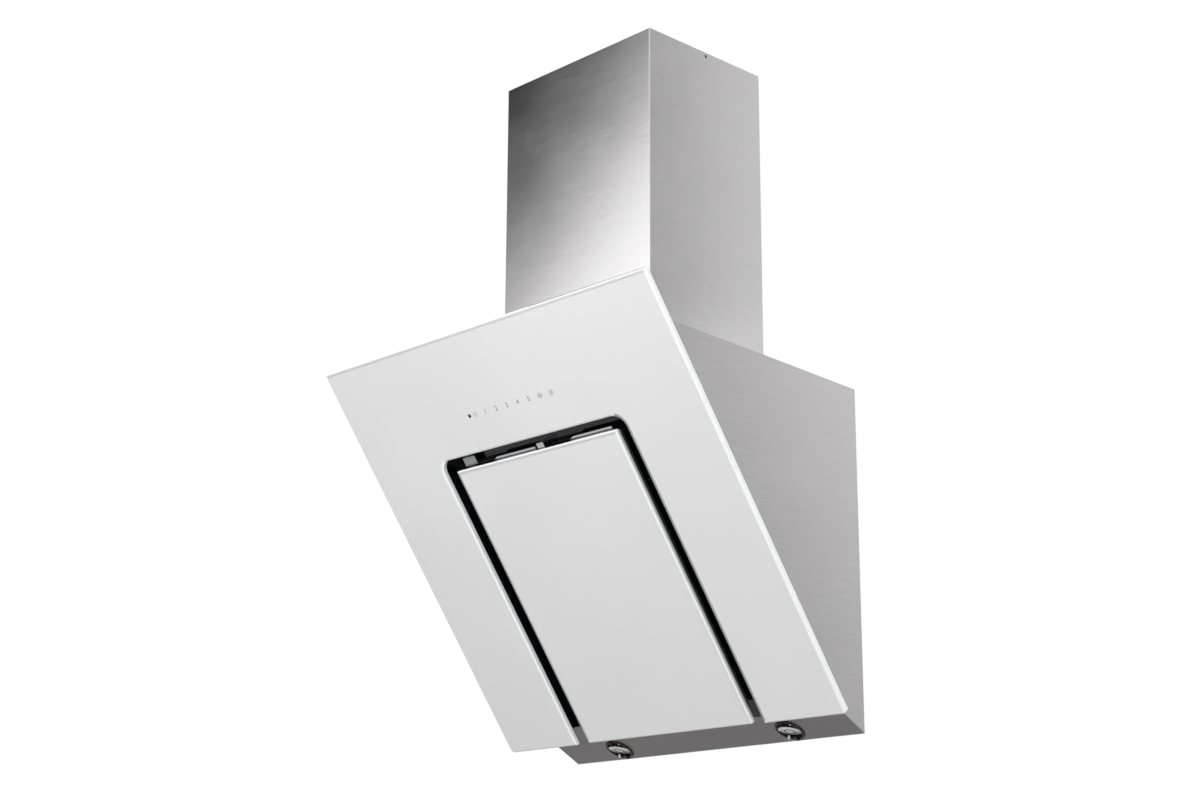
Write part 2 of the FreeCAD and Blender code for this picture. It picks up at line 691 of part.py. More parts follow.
def make_hinges():
    """Forked brackets on the tray's floor, each with a pin through the panel's ear."""
    skin = given.bracket_skin
    depth, rise = given.hinge_depth, given.hinge_rise
    half_gap = given.ear_width / 2 + given.ear_clearance
    foot = rise_above_underside(tray_floor, given.skin * 1.1)
    for word, side in SIDES:
        middle = side * given.hinge_offset
        fork = new_body(f"hinge_bracket_{word}")
        pad(fork, "XZ_Plane", tray_floor - skin, skin,
            [rectangle(middle - half_gap - skin, middle + half_gap + skin, foot, foot + 30)])
        ear = [(tray_floor, foot), (tray_floor, foot + 28), (depth + 1, foot + 28),
               (depth - 3, rise + 4), (depth - 3, rise - 4), (depth + 3, rise - 4)]
        for start in (middle - half_gap - skin, middle + half_gap):
            pad(fork, "YZ_Plane", start, skin, [ear], [(depth, rise, given.hinge_pin_radius)])
        keep(f"hinge_bracket_{word}", place_on_glass(fork))
        pin = round_bar(f"hinge_pin_{word}_bar", "X", given.hinge_pin_radius, half_gap * 2 + skin * 2 + 1,
                        middle - half_gap - skin - 0.5, depth, rise)
        keep(f"hinge_pin_{word}", place_on_glass(fuse(f"hinge_pin_{word}_whole", [pin, pin_head(word, middle)])))


def pin_head(word, middle):
    """The flat head at one end of a hinge pin."""
    half_gap = given.ear_width / 2 + given.ear_clearance
    return round_bar(f"hinge_pin_{word}_head", "X", given.hinge_pin_radius + 1, 1,
                     middle + half_gap + given.bracket_skin, given.hinge_depth, given.hinge_rise)


def make_catches():
    """Magnet catches near the panel's upper edge, and the chrome post between the strikers."""
    post = plate("panel_post", "XZ_Plane", given.panel_recess + 8, tray_floor - given.panel_recess - 8,
                 [rectangle(given.post_offset - given.post_width / 2, given.post_offset + given.post_width / 2,
                            panel_length - 1, panel_length + 7)])
    keep("panel_post", place_on_glass(post))
    high = panel_length - given.panel_tray_margin - 2
    front = panel_back + given.catch_clearance
    for word, side in SIDES:
        middle = side * given.catch_offset
        half = given.catch_width / 2
        case = block(f"catch_{word}_case", middle - half, middle + half, front, tray_floor,
                     high - given.catch_length, high)
        groove = block(f"catch_{word}_groove", middle - 3, middle + 3, front, front + 1.5,
                       high - given.catch_length, high)
        keep(f"panel_catch_{word}", place_on_glass(cut(f"catch_{word}_whole", case, [groove])))


# ---------------------------------------------------------------- grease filter


def make_filter():
    half, rim = given.filter_width / 2, given.filter_rim
    low, high = given.filter_foot, given.filter_foot + filter_length
    inner = rectangle(-half + rim, half - rim, low + rim, high - rim)
    rim_front = tray_floor
    frame = plate("filter_frame", "XZ_Plane", rim_front, given.filter_thickness,
                  [[(-half, low, 4), (half, low, 4), (half, high, 4), (-half, high, 4)], inner])
    keep("filter_frame", place_on_glass(frame))
    mesh = plate("filter_mesh", "XZ_Plane", rim_front + 2, given.filter_thickness - 4, [inner])
    keep("filter_mesh", place_on_glass(mesh))


def make_filter_handle():
    """A grip across the upper rim, with a slot that the latch slides in."""
    half = given.handle_width / 2
    high = given.filter_foot + filter_length - 2
    low = high - given.handle_length
    front = tray_floor - given.handle_height
    grip = block("handle_grip", -half, half, front, tray_floor, low, high)
    slot_half, slot_low, slot_high = latch_slot()
    slot = block("handle_slot", -slot_half, slot_half, front, tray_floor, slot_low, slot_high)
    hollow = block("handle_hollow", -half + 2, half - 2, front + 2, tray_floor, low, slot_low - 2)
    keep("filter_handle", place_on_glass(cut("handle_whole", grip, [slot, hollow])))


def latch_slot():
    high = given.filter_foot + filter_length - 4
    low = high - 9 - given.latch_travel
    return as_size(13), low, high


def make_filter_latch():
    """The slider that lets go of the filter; it moves down the slant."""
    slot_half, _, slot_high = latch_slot()
    front = tray_floor - given.handle_height - 1.5
    slider = block("latch_slider", -slot_half + 0.3, slot_half - 0.3, front, tray_floor - 0.3,
                   slot_high - 8.7, slot_high - 0.3)
    ridge = block("latch_ridge", -slot_half + 3, slot_half - 3, front, front + 0.7, slot_high - 6, slot_high - 3)
    keep("filter_latch", place_on_glass(cut("latch_whole", slider, [ridge])))


# ---------------------------------------------------------------- touch control


def make_touch_control():
    half, length = given.touch_width / 2, given.touch_length / 2
    back = given.glass_thickness
    rise = touch_rise
    board = plate("touch_board", "XZ_Plane", back, given.touch_board_thickness,
                  [rectangle(-half, half, rise - length, rise + length)])
    keep("touch_board", place_on_glass(board))
    wall = given.touch_cover_wall
    gap = given.board_clearance
    deep = back + given.touch_cover_depth
    shell = block("touch_cover_shell", -half - gap - wall, half + gap + wall, back, deep,
                  rise - length - gap - wall, rise + length + gap + wall)
    room = block("touch_cover_room", -half - gap, half + gap, back, deep - wall,
                 rise - length - gap, rise + length + gap)
    keep("touch_cover", place_on_glass(cut("touch_cover_whole", shell, [room])))


# ---------------------------------------------------------------- lamps


def make_lamps():
    for word, side in SIDES:
        x, along = side * given.lamp_offset, given.lamp_rise
        for name, build in (("bezel", lamp_bezel), ("clips", lamp_clips)):
            keep(f"lamp_{name}_{word}", place_under(build(word), x, along))
        for name, build in (("can", lamp_can), ("lens", lamp_lens)):
            leaning = place_under(build(word), x, along)
            leaning.Placement.Rotation = FreeCAD.Rotation(Vector(-1, 0, 0), given.underside_angle.value)
            bind(leaning, "Placement.Rotation.Angle", given.underside_angle - given.lamp_lean)
            keep(f"lamp_{name}_{word}", leaning)


def lamp_bezel(word):
    """A ring under the panel with a sleeve that stands in the panel's hole."""
    ring = round_bar(f"bezel_ring_{word}", "Z", given.lamp_bezel_radius, given.lamp_proud, 0, 0, -given.lamp_proud)
    sleeve = round_bar(f"bezel_sleeve_{word}", "Z", given.lamp_hole_radius - given.lamp_fit, given.lamp_sleeve)
    throat = round_bar(f"bezel_throat_{word}", "Z", given.lamp_throat_radius,
                       given.lamp_proud + given.lamp_sleeve, 0, 0, -given.lamp_proud)
    return cut(f"bezel_{word}", fuse(f"bezel_solid_{word}", [ring, sleeve]), [throat])


def lamp_can(word):
    """A closed can behind the lens, leaning with it."""
    start = given.lens_thickness / 2
    body = round_bar(f"can_body_{word}", "Z", given.lamp_can_radius, given.lamp_can_depth, 0, 0, start)
    room = round_bar(f"can_room_{word}", "Z", given.lamp_can_radius - given.lamp_can_wall,
                     given.lamp_can_depth - given.lamp_can_wall, 0, 0, start)
    return cut(f"can_{word}", body, [room])


def lamp_lens(word):
    """The lens on its pivots across the throat, with a raised ring."""
    front = -given.lens_thickness / 2
    disc = round_bar(f"lens_disc_{word}", "Z", given.lamp_throat_radius - given.lens_pivot_fit,
                     given.lens_thickness, 0, 0, front)
    ring = tube(f"lens_ring_{word}", "Z", given.lens_ring_radius, given.lens_ring_radius - 1, 0.6, 0, 0,
                front - 0.6)
    return fuse(f"lens_{word}", [disc, ring])


def lamp_clips(word):
    """Two tabs on the bezel: the rear one reaches in below the raised edge of the leaning lens."""
    low, high = -given.lamp_proud - 1, -given.lamp_proud
    half, reach = given.clip_width / 2, given.lamp_throat_radius + given.clip_hold
    front = block(f"clip_front_{word}", -half, half, -reach, 0.6 - given.lamp_throat_radius, low, high)
    rear = block(f"clip_rear_{word}", -half, half, given.lamp_throat_radius - given.clip_reach, reach, low, high)
    return fuse(f"clips_{word}", [front, rear])


# ---------------------------------------------------------------- blower


def number_of(name):
    """A driving dimension as the sheet holds it now."""
    return float(sizes.get(name))


def scroll_wires(offset):
    """The scroll's profile in the Y-Z plane, moved outwards by an offset, with the outlet upwards."""
    centre_y, centre_z = -number_of("fan_reach"), number_of("fan_height")
    step, small = number_of("scroll_step"), number_of("scroll_radius")
    first = Vector(0, centre_y, centre_z)
    second = first - Vector(0, step, 0)
    third = second + Vector(0, 0, step)
    radii = [small + offset, small + step + offset, small + 2 * step + offset]
    front = third.y - radii[2]
    inner_wall = third.y - (radii[2] - offset) + number_of("scroll_outlet")
    back = inner_wall + offset
    top = outlet_height.value
    side = back - first.y
    start = first + Vector(0, side, math.sqrt(radii[0] ** 2 - side ** 2))

    def on_circle(centre, radius, angle):
        turn = math.radians(angle)
        return centre + Vector(0, radius * math.cos(turn), radius * math.sin(turn))

    lead = math.degrees(math.atan2(start.z - first.z, start.y - first.y))
    arcs = [(first, radii[0], lead, 0), (second, radii[1], 0, -90), (third, radii[2], -90, -180)]
    edges = []
    for centre, radius, begin, finish in arcs:
        middle = on_circle(centre, radius, (begin + finish) / 2)
        edges.append(Part.Arc(on_circle(centre, radius, begin), middle,
                              on_circle(centre, radius, finish)).toShape())
    corners = [on_circle(third, radii[2], -180), Vector(0, front, top), Vector(0, back, top), start]
    for begin, finish in zip(corners, corners[1:]):
        edges.append(Part.makeLine(begin, finish))
    return Part.Wire(edges)


def make_scroll_halves():
    """The two halves of the snail-shaped housing, each with a round inlet and its lip."""
    half, wall = number_of("scroll_half_width"), number_of("scroll_wall")
    inlet = number_of("inlet_radius")
    lip_inside = number_of("fan_half_width") + wall
    centre = Vector(0, -number_of("fan_reach"), number_of("fan_height"))
    for word, side in SIDES:
        way = Vector(side, 0, 0)
        solid = Part.Face(scroll_wires(wall)).extrude(way * half)
        room = Part.Face(scroll_wires(0)).extrude(way * (half - wall))
        lip = Part.makeCylinder(inlet + wall, half - lip_inside, centre + way * lip_inside, way)
        bore = Part.makeCylinder(inlet, half + wall, centre, way)
        shape = solid.cut(room).fuse(lip).cut(bore).removeSplitter()
        feature = document.addObject("Part::Feature", f"scroll_{word}")
        feature.Shape = shape
        keep(f"blower_housing_{word}", place(feature))


def make_outlet_adapter():
    """From the scroll's square outlet to the round collar, ruled between two rings of points."""
    wall, half = number_of("scroll_wall"), number_of("scroll_half_width")
    low = outlet_height.value
    high = low + number_of("adapter_height")
    step = number_of("scroll_step")
    front = -number_of("fan_reach") - step - (number_of("scroll_radius") + 2 * step)
    centre_y = front + number_of("scroll_outlet") / 2
    middle = -number_of("duct_reach")
    bore = number_of("collar_radius") - number_of("collar_wall")
    count = 32
    turns = [2 * math.pi * (index + 0.5) / count for index in range(count)]

    def ring(offset):
        radius = (bore + offset) / math.cos(math.pi / count)
        return [Vector(radius * math.cos(turn), middle + radius * math.sin(turn), high) for turn in turns]

    def square(offset):
        wide, deep = half - wall + offset, number_of("scroll_outlet") / 2 + offset
        points = []
        for turn in turns:
            across, along = math.cos(turn), math.sin(turn)
            reach = 1 / max(abs(across) / wide, abs(along) / deep)
            points.append(Vector(reach * across, centre_y + reach * along, low))
        return points

    # Round the section of the wall: outside up, across the upper rim, inside down, across the lower rim.
    rows = [square(wall), ring(wall), ring(0), square(0)]
    faces = []
    for first, second in zip(rows, rows[1:] + rows[:1]):
        for index in range(count):
            after = (index + 1) % count
            for corners in ((first[index], first[after], second[after]), (first[index], second[after], second[index])):
                faces.append(Part.Face(Part.makePolygon(corners + corners[:1])))
    feature = document.addObject("Part::Feature", "adapter")
    feature.Shape = Part.Solid(Part.makeShell(faces)).removeSplitter()
    keep("outlet_adapter", place(feature))


def make_fan_wheel():
    """A squirrel-cage wheel: hub, middle disc, curved blades on both sides and two end rings."""
    radius, half = number_of("fan_radius"), number_of("fan_half_width")
    depth, thick = number_of("blade_depth"), number_of("blade_thickness")
    hub, bore = number_of("hub_radius"), number_of("shaft_radius")
    count = int(number_of("fan_blades"))
    root = radius - depth
    right = Vector(1, 0, 0)
    disc = Part.makeCylinder(radius, 3, Vector(-1.5, 0, 0), right)
    boss = Part.makeCylinder(hub, 18, Vector(-6, 0, 0), right)
    rings = [Part.makeCylinder(radius, 2, Vector(x, 0, 0), right).cut(
        Part.makeCylinder(root, 2, Vector(x, 0, 0), right)) for x in (-half, half - 2)]

    def blade_edge(shift):
        points = []
        for share, lead in ((0, 0), (0.35, 3), (0.7, 7.5), (1, 13)):
            turn = math.radians(lead) + shift / radius
            reach = root + 0.3 + (depth - 0.6) * share
            points.append(Vector(1 - half, reach * math.cos(turn), reach * math.sin(turn)))
        return points

    outline = blade_edge(0) + blade_edge(thick)[::-1]
    blade = Part.Face(Part.makePolygon(outline + outline[:1])).extrude(right * (2 * half - 2))
    blades = []
    for number in range(count):
        turned = blade.copy()
        turned.rotate(Vector(), right, 360.0 * number / count)
        blades.append(turned)
    shape = disc.multiFuse([boss] + rings + blades).cut(Part.makeCylinder(bore, 40, Vector(-20, 0, 0), right))
    feature = document.addObject("Part::Feature", "fan_wheel")
    feature.Shape = shape
    keep("impeller", place(feature, 0, -given.fan_reach, given.fan_height))


def make_motor():
    """The motor stands in the left inlet on a three-armed carrier, with its shaft in the wheel's hub."""
    carrier_outside = given.scroll_half_width + given.spider_thickness
    length = given.scroll_half_width - 9
    can = round_bar("motor_can", "X", given.motor_radius, length, -given.scroll_half_width)
    nose = round_bar("motor_nose", "X", 14, 1.5, -given.scroll_half_width + length)
    bore = round_bar("motor_bore", "X", given.shaft_radius + given.shaft_clearance, 40,
                     -given.scroll_half_width + length - 30)
    motor = cut("motor_whole", fuse("motor_solid", [can, nose]), [bore])
    keep("motor", place(motor, 0, -given.fan_reach, given.fan_height))
    shaft = plate("motor_shaft", "YZ_Plane", -given.scroll_half_width + length - 29, 41, [],
                  [(0, 0, given.shaft_radius)])
    keep("motor_shaft", place(shaft, 0, -given.fan_reach, given.fan_height))
    rim = tube("spider_rim", "X", given.inlet_radius + 6, given.inlet_radius - 3, given.spider_thickness,
               -carrier_outside)
    plate_disc = round_bar("spider_disc", "X", given.motor_radius - 6, given.spider_thickness, -carrier_outside)
    arms = []
    for number in range(3):
        arm = document.addObject("Part::Box", f"spider_arm_{number}")
        bind(arm, "Length", given.spider_thickness)
        bind(arm, "Width", 12)
        bind(arm, "Height", given.inlet_radius)
        turn = FreeCAD.Rotation(Vector(1, 0, 0), 120 * number)
        arm.Placement = FreeCAD.Placement(turn.multVec(Vector(0, -6, 0)), turn)
        bind(arm, "Placement.Base.x", -carrier_outside)
        arms.append(arm)
    spider = fuse("spider_whole", [rim, plate_disc] + arms)
    keep("motor_carrier", place(spider, 0, -given.fan_reach, given.fan_height))


def make_inlet_guard():
    """Rings and spokes over the right inlet."""
    thick = given.spider_thickness
    start = given.scroll_half_width
    rings = [tube(f"guard_ring_{number}", "X", given.inlet_radius + 6 - 24 * number,
                  given.inlet_radius + 3 - 24 * number, thick, start) for number in range(2)]
    spokes = []
    for number in range(4):
        spoke = document.addObject("Part::Box", f"guard_spoke_{number}")
        bind(spoke, "Length", thick)
        bind(spoke, "Width", 3)
        bind(spoke, "Height", given.inlet_radius + 4)
        turn = FreeCAD.Rotation(Vector(1, 0, 0), 90 * number)
        spoke.Placement = FreeCAD.Placement(turn.multVec(Vector(0, -1.5, 0)), turn)
        bind(spoke, "Placement.Base.x", start)
        spokes.append(spoke)
    keep("inlet_guard", place(fuse("guard_whole", rings + spokes), 0, -given.fan_reach, given.fan_height))


def make_blower_mounts():
    """Rubber pads between the scroll's back and the back panel."""
    back = given.fan_reach - given.scroll_radius - given.scroll_wall
    pads = [round_bar(f"mount_{word}", "Y", 8, back - given.skin, side * 35, -back, given.fan_height)
            for word, side in SIDES]
    keep("blower_mounts", place(fuse("mounts_all", pads)))


# ---------------------------------------------------------------- outlet and draught flaps


def make_outlet_collar():
    """The round neck that the duct slides over, and the flange that seals it to the sloping top."""
    low = outlet_height + given.adapter_height
    bore = given.collar_radius - given.collar_wall
    shoulder = given.body_height + given.collar_shoulder
    neck = new_body("outlet_collar")
    pad(neck, "XY_Plane", low, shoulder - low, [],
        [(0, -given.duct_reach, collar_foot_radius), (0, -given.duct_reach, bore)])
    pad(neck, "XY_Plane", shoulder, given.collar_height - given.collar_shoulder, [],
        [(0, -given.duct_reach, given.collar_radius), (0, -given.duct_reach, bore)])
    keep("outlet_collar", place(neck))
    middle = -given.duct_reach / top_cosine
    flange = plate("collar_flange", "XY_Plane", 0, given.collar_flange, [],
                   [(0, middle, given.collar_flange_radius),
                    (0, middle, collar_foot_radius + given.collar_hole_clearance)])
    keep("collar_flange", place_on_top(flange))


def make_flap_pin():
    bore = given.collar_radius - given.collar_wall
    half = bore - 0.2
    pin = plate("flap_pin", "YZ_Plane", -half, half * 2, [], [(0, 0, given.flap_pin_radius)])
    keep("flap_pin", place(pin, 0, -given.duct_reach, given.body_height + given.flap_height))


def make_flaps():
    """Two half-round flaps that meet at one pin, each with a pair of knuckles of its own."""
    reach = given.collar_radius - given.collar_wall - given.flap_clearance
    knuckle = 14
    for word, way, firsts in (("front", -1, (-60, 24)), ("rear", 1, (-38, 46))):
        disc = round_bar(f"flap_disc_{word}", "Z", reach, given.flap_thickness, 0, 0, -given.flap_thickness / 2)
        gap = given.flap_knuckle_radius + 0.5
        if way < 0:
            away = block(f"flap_away_{word}", -reach - 1, reach + 1, -gap, reach + 1, -5, 5)
        else:
            away = block(f"flap_away_{word}", -reach - 1, reach + 1, -reach - 1, gap, -5, 5)
        leaf = cut(f"flap_leaf_{word}", disc, [away])
        pieces = [leaf]
        for number, first in enumerate(firsts):
            pieces.append(round_bar(f"flap_knuckle_{word}_{number}", "X", given.flap_knuckle_radius, knuckle, first))
            near, far = (-gap - 1, 0) if way < 0 else (0, gap + 1)
            pieces.append(block(f"flap_tab_{word}_{number}", first, first + knuckle, near, far,
                                -given.flap_thickness / 2, given.flap_thickness / 2))
        bore = round_bar(f"flap_bore_{word}", "X", given.flap_pin_radius + given.pin_clearance, reach * 2, -reach)
        flap = cut(f"flap_whole_{word}", fuse(f"flap_solid_{word}", pieces), [bore])
        keep(f"flap_{word}", place(flap, 0, -given.duct_reach, given.body_height + given.flap_height))


# ---------------------------------------------------------------- electrics


def make_control_box():
    """The electronics box on the back panel, with its lid."""
    wall, back = given.control_wall, -given.skin
    left = -given.control_offset - given.control_width / 2
    right = left + given.control_width
    low = given.body_height - given.control_drop - given.control_height / 2
    high = low + given.control_height
    front = back - given.control_depth
    shell = block("control_shell", left, right, front, back, low, high)
    room = block("control_room", left + wall, right - wall, front, back - wall, low + wall, high - wall)
    keep("control_box", place(cut("control_box_whole", shell, [room])))
    lid = plate("control_box_lid", "XZ_Plane", front - wall, wall, [rectangle(left, right, low, high)])
    keep("control_box_lid", place(lid))


def make_lamp_driver():
    left = given.driver_offset - given.driver_width / 2
    low = given.driver_rise - given.driver_height / 2
    case = plate("lamp_driver", "XZ_Plane", -given.skin - given.driver_depth, given.driver_depth,
                 [rectangle(left, left + given.driver_width, low, low + given.driver_height)])
    keep("lamp_driver", place(case))


def make_capacitor():
    """The motor's capacitor in a folded clip on the back panel."""
    radius, sheet = given.capacitor_radius, given.clip_sheet
    x, y = given.driver_offset, -given.skin - radius - sheet
    middle = given.body_height - given.capacitor_drop
    can = plate("motor_capacitor", "XY_Plane", middle - given.capacitor_height / 2, given.capacitor_height,
                [], [(x, y, radius)])
    keep("motor_capacitor", place(can))
    inner, outer = radius, radius + sheet
    foot = outer + 9
    strap = [(x - foot, -given.skin - sheet), (x - outer, -given.skin - sheet), (x - outer, y - outer),
             (x + outer, y - outer), (x + outer, -given.skin - sheet), (x + foot, -given.skin - sheet),
             (x + foot, -given.skin), (x + inner, -given.skin), (x + inner, y - inner),
             (x - inner, y - inner), (x - inner, -given.skin), (x - foot, -given.skin)]
    clip = plate("capacitor_clip", "XY_Plane", middle - given.clip_height / 2, given.clip_height, [strap])
    keep("capacitor_clip", place(clip))


def hexagon(x, y, width):
    """The corners of a nut of that width across its flats."""
    half, point = width / 2, width * 0.57735
    return [(x + point, y), (x + point / 2, y + half), (x - point / 2, y + half), (x - point, y),
            (x - point / 2, y - half), (x + point / 2, y - half)]


def make_cable_gland():
    """The gland for the mains lead, in the strip of the top panel behind the chimney."""
    x, y = given.gland_offset, -given.gland_reach
    height, bore = given.gland_nut_height, [(x, y, given.gland_bore)]
    gland = new_body("cable_gland")
    pad(gland, "XY_Plane", -given.skin - height - 3, given.skin + height * 2 + 6, [],
        [(x, y, given.gland_radius)] + bore)
    pad(gland, "XY_Plane", 0, height, [hexagon(x, y, given.gland_nut_width)], bore)
    pad(gland, "XY_Plane", -given.skin - height, height, [hexagon(x, y, given.gland_nut_width)], bore)
    keep("cable_gland", place_on_top(gland))


# ---------------------------------------------------------------- chimney


def chimney_section(inset):
    """A sheet folded to three sides with narrow returns at the back, inset from the outer one."""
    sheet = given.chimney_sheet
    half = given.chimney_width / 2 - inset
    front = -chimney_front + inset
    back = -given.chimney_stand_off - inset
    lip = half - given.chimney_return
    bend = given.chimney_bend
    tight = bend - sheet
    return [(-half, back), (-half, front, bend), (half, front, bend), (half, back), (lip, back),
            (lip, back - sheet), (half - sheet, back - sheet), (half - sheet, front + sheet, tight),
            (-half + sheet, front + sheet, tight), (-half + sheet, back - sheet),
            (-lip, back - sheet), (-lip, back)]


def make_outer_chimney():
    foot = given.body_height
    sleeve = plate("chimney_outer", "XY_Plane", foot, given.chimney_height, [chimney_section(as_size(0))])
    half = given.chimney_width / 2
    trim = plate("chimney_trim", "YZ_Plane", -half - 1, half * 2 + 2,
                 [[(0, foot - 1), (0, foot), (-chimney_front - 1, foot + (chimney_front + 1) * top_sine / top_cosine),
                   (-chimney_front - 1, foot - 1)]])
    middle = (chimney_front + given.chimney_stand_off) / 2
    hole = round_bar("chimney_hole", "X", given.chimney_hole_radius, half * 2 + 2, -half - 1, -middle,
                     foot + given.chimney_height - given.chimney_hole_drop)
    keep("chimney_outer", place(cut("chimney_outer_whole", sleeve, [hole, trim])))


def make_inner_chimney():
    """The upper sleeve, stored inside the outer one, and the bracket that ties it to the wall."""
    inset = given.chimney_sheet + given.chimney_gap
    foot = given.body_height + given.inner_foot
    head = given.body_height + given.chimney_height - given.inner_drop
    sleeve = plate("chimney_inner", "XY_Plane", foot, head - foot, [chimney_section(inset)])
    keep("chimney_inner", place(sleeve))
    skin = given.bracket_skin
    tab = -given.chimney_stand_off - inset - given.chimney_sheet
    leg = given.wall_strap_width / 2
    end = given.chimney_width / 2 - inset - 3
    strap = [(-end, tab), (-leg, tab), (-leg, 0), (leg, 0), (leg, tab), (end, tab), (end, tab - skin),
             (leg - skin, tab - skin), (leg - skin, -skin), (-leg + skin, -skin),
             (-leg + skin, tab - skin), (-end, tab - skin)]
    low = head - given.wall_strap_drop - given.wall_strap_height
    bent = plate("wall_strap", "XY_Plane", low, given.wall_strap_height, [strap])
    holes = [round_bar(f"strap_hole_{word}", "Y", given.lock_hole_radius, skin + 2,
                       side * given.wall_strap_spacing / 2, -skin - 1, low + given.wall_strap_height / 2)
             for word, side in SIDES]
    keep("chimney_wall_bracket", place(cut("wall_strap_whole", bent, holes)))


def make_chimney_feet():
    """Angles that hold the outer chimney's sides on the body."""
    skin = given.bracket_skin
    middle = (chimney_front + given.chimney_stand_off) / 2
    for word, side in SIDES:
        wall = side * (given.chimney_width / 2 - given.chimney_sheet)
        corners = [(wall, 0), (wall, 22), (wall - side * skin, 22), (wall - side * skin, skin),
                   (wall - side * 20, skin), (wall - side * 20, 0)]
        foot = plate(f"chimney_foot_{word}", "XZ_Plane", -middle - 37, 74, [corners])
        keep(f"chimney_foot_{word}", place_on_top(foot))


# ---------------------------------------------------------------- make and write

make_back_panel()
make_side_panels()
make_top_panel()
make_lamp_panel()
make_front_frame()
make_front_glass()
make_glass_rails()
make_suction_tray()
make_tray_screws()
make_centre_glass()
make_panel_tray()
make_hinges()
make_catches()
make_filter()
make_filter_handle()
make_filter_latch()
make_touch_control()
make_lamps()
make_scroll_halves()
make_outlet_adapter()
make_fan_wheel()
make_motor()
make_inlet_guard()
make_blower_mounts()
make_outlet_collar()
make_flap_pin()
make_flaps()
make_control_box()
make_lamp_driver()
make_capacitor()
make_cable_gland()
make_outer_chimney()
make_inner_chimney()
make_chimney_feet()
document.recompute()

faults = [f"{item.Name}: {item.State}" for item in document.Objects
          if "Invalid" in item.State or "Error" in item.State]
for name, feature in nodes.items():
    if feature.Shape.isNull() or not feature.Shape.isValid() or not feature.Shape.Solids:
        faults.append(f"{name}: no valid solid")
if faults:
    raise RuntimeError("; ".join(faults))

os.makedirs("parts", exist_ok=True)
for name, feature in nodes.items():
    feature.Shape.exportStep(f"parts/{name}.step")
    box = feature.Shape.BoundBox
    print(f"{name:24s} solids {len(feature.Shape.Solids):2d} volume {feature.Shape.Volume:10.0f} "
          f"x {box.XMin:7.1f} {box.XMax:7.1f} y {box.YMin:7.1f} {box.YMax:7.1f} z {box.ZMin:7.1f} {box.ZMax:7.1f}")
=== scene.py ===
import math

import bmesh
import bpy
from bpy.props import FloatProperty, FloatVectorProperty, PointerProperty
from mathutils import Matrix, Vector


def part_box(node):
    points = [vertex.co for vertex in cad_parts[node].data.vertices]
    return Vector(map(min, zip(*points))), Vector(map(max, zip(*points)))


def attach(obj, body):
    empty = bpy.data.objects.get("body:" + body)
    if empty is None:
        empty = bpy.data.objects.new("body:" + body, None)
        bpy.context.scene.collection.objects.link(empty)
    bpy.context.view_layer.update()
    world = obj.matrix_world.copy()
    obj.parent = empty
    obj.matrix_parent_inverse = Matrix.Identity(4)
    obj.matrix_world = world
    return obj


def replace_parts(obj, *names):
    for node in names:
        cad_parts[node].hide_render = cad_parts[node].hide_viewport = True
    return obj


bl_info = {
    "name": "Range hood dressing",
    "version": (1, 0, 0),
    "blender": (4, 5, 0),
    "location": "View3D > Sidebar > Hood",
    "description": "Dresses a leaning glass range hood with glass, steel, lamps, filter and touch keys",
    "category": "Object",
}

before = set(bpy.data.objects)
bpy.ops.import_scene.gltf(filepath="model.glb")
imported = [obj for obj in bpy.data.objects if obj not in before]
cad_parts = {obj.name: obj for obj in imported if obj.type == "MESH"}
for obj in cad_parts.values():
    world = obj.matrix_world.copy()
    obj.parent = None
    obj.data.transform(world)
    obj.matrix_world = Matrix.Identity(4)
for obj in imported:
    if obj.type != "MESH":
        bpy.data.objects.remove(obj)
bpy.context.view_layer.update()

# All sizes are in metres. The origin is HANG above the body's lower edge, on the wall.
HANG = 0.395
BODY_HEIGHT = 0.435
BODY_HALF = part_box("right_side_panel")[1].x
CHIMNEY_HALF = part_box("chimney_outer")[1].x
CHIMNEY_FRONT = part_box("chimney_outer")[0].y

TOP_FALL = math.radians(3.3)
TILT = math.radians(35)
SLOPE = math.radians(29.5)

# The frame of the body's sloping top: Z stands on its face.
TOP = Matrix.Translation((0, 0, BODY_HEIGHT - HANG)) @ Matrix.Rotation(-TOP_FALL, 4, "X")

# The glass frame: X right, Y depth behind the glass face, Z up the slant from the pane's foot.
GLASS_FOOT = (0, -0.084, 0.014 - HANG)
GLASS = Matrix.Translation(GLASS_FOOT) @ Matrix.Rotation(TILT, 4, "X")
GLASS_WIDE, GLASS_TALL, GLASS_THICK = 0.598, 0.575, 0.006
CUT_WIDE, CUT_TALL, CUT_CORNER = 0.336, 0.421, 0.018
LOWER_CORNER, UPPER_CORNER = 0.006, 0.003
PANEL_WIDE, PANEL_TALL, PANEL_CORNER = 0.296, 0.403, 0.003
PANEL_FACE, PANEL_BACK = 0.002, 0.007

# The lamps: how far out they are and how far up the underside from the wall, the lean of their lenses
# and the turn of their tabs.
LAMP_OUT, LAMP_ALONG = 0.153, 0.023
LAMP_LEAN = math.radians(15)
TAB_TURN = math.radians(-140)


def lamp_matrix(x, along):
    """The lamp frame at a point of the sloping underside: Z runs into the body."""
    spot = (x, -along * math.cos(SLOPE), along * math.sin(SLOPE) - HANG)
    return Matrix.Translation(spot) @ Matrix.Rotation(-SLOPE, 4, "X")


# ---------------------------------------------------------------- nodes


def add_node(tree, kind, settings=None, sockets=None):
    """Adds a node: its settings are set first, then its sockets get their values or links."""
    node = tree.nodes.new(kind)
    for name, value in (settings or {}).items():
        setattr(node, name, value)
    for key, value in (sockets or {}).items():
        feed(tree, node.inputs[key], value)
    return node


def feed(tree, socket, value):
    """Gives a socket a link from a wire, or a plain value. A colour gets its alpha here."""
    if isinstance(value, Wire):
        tree.links.new(value.socket, socket)
    elif socket.type == "RGBA":
        socket.default_value = (*value[:3], 1.0)
    else:
        socket.default_value = value


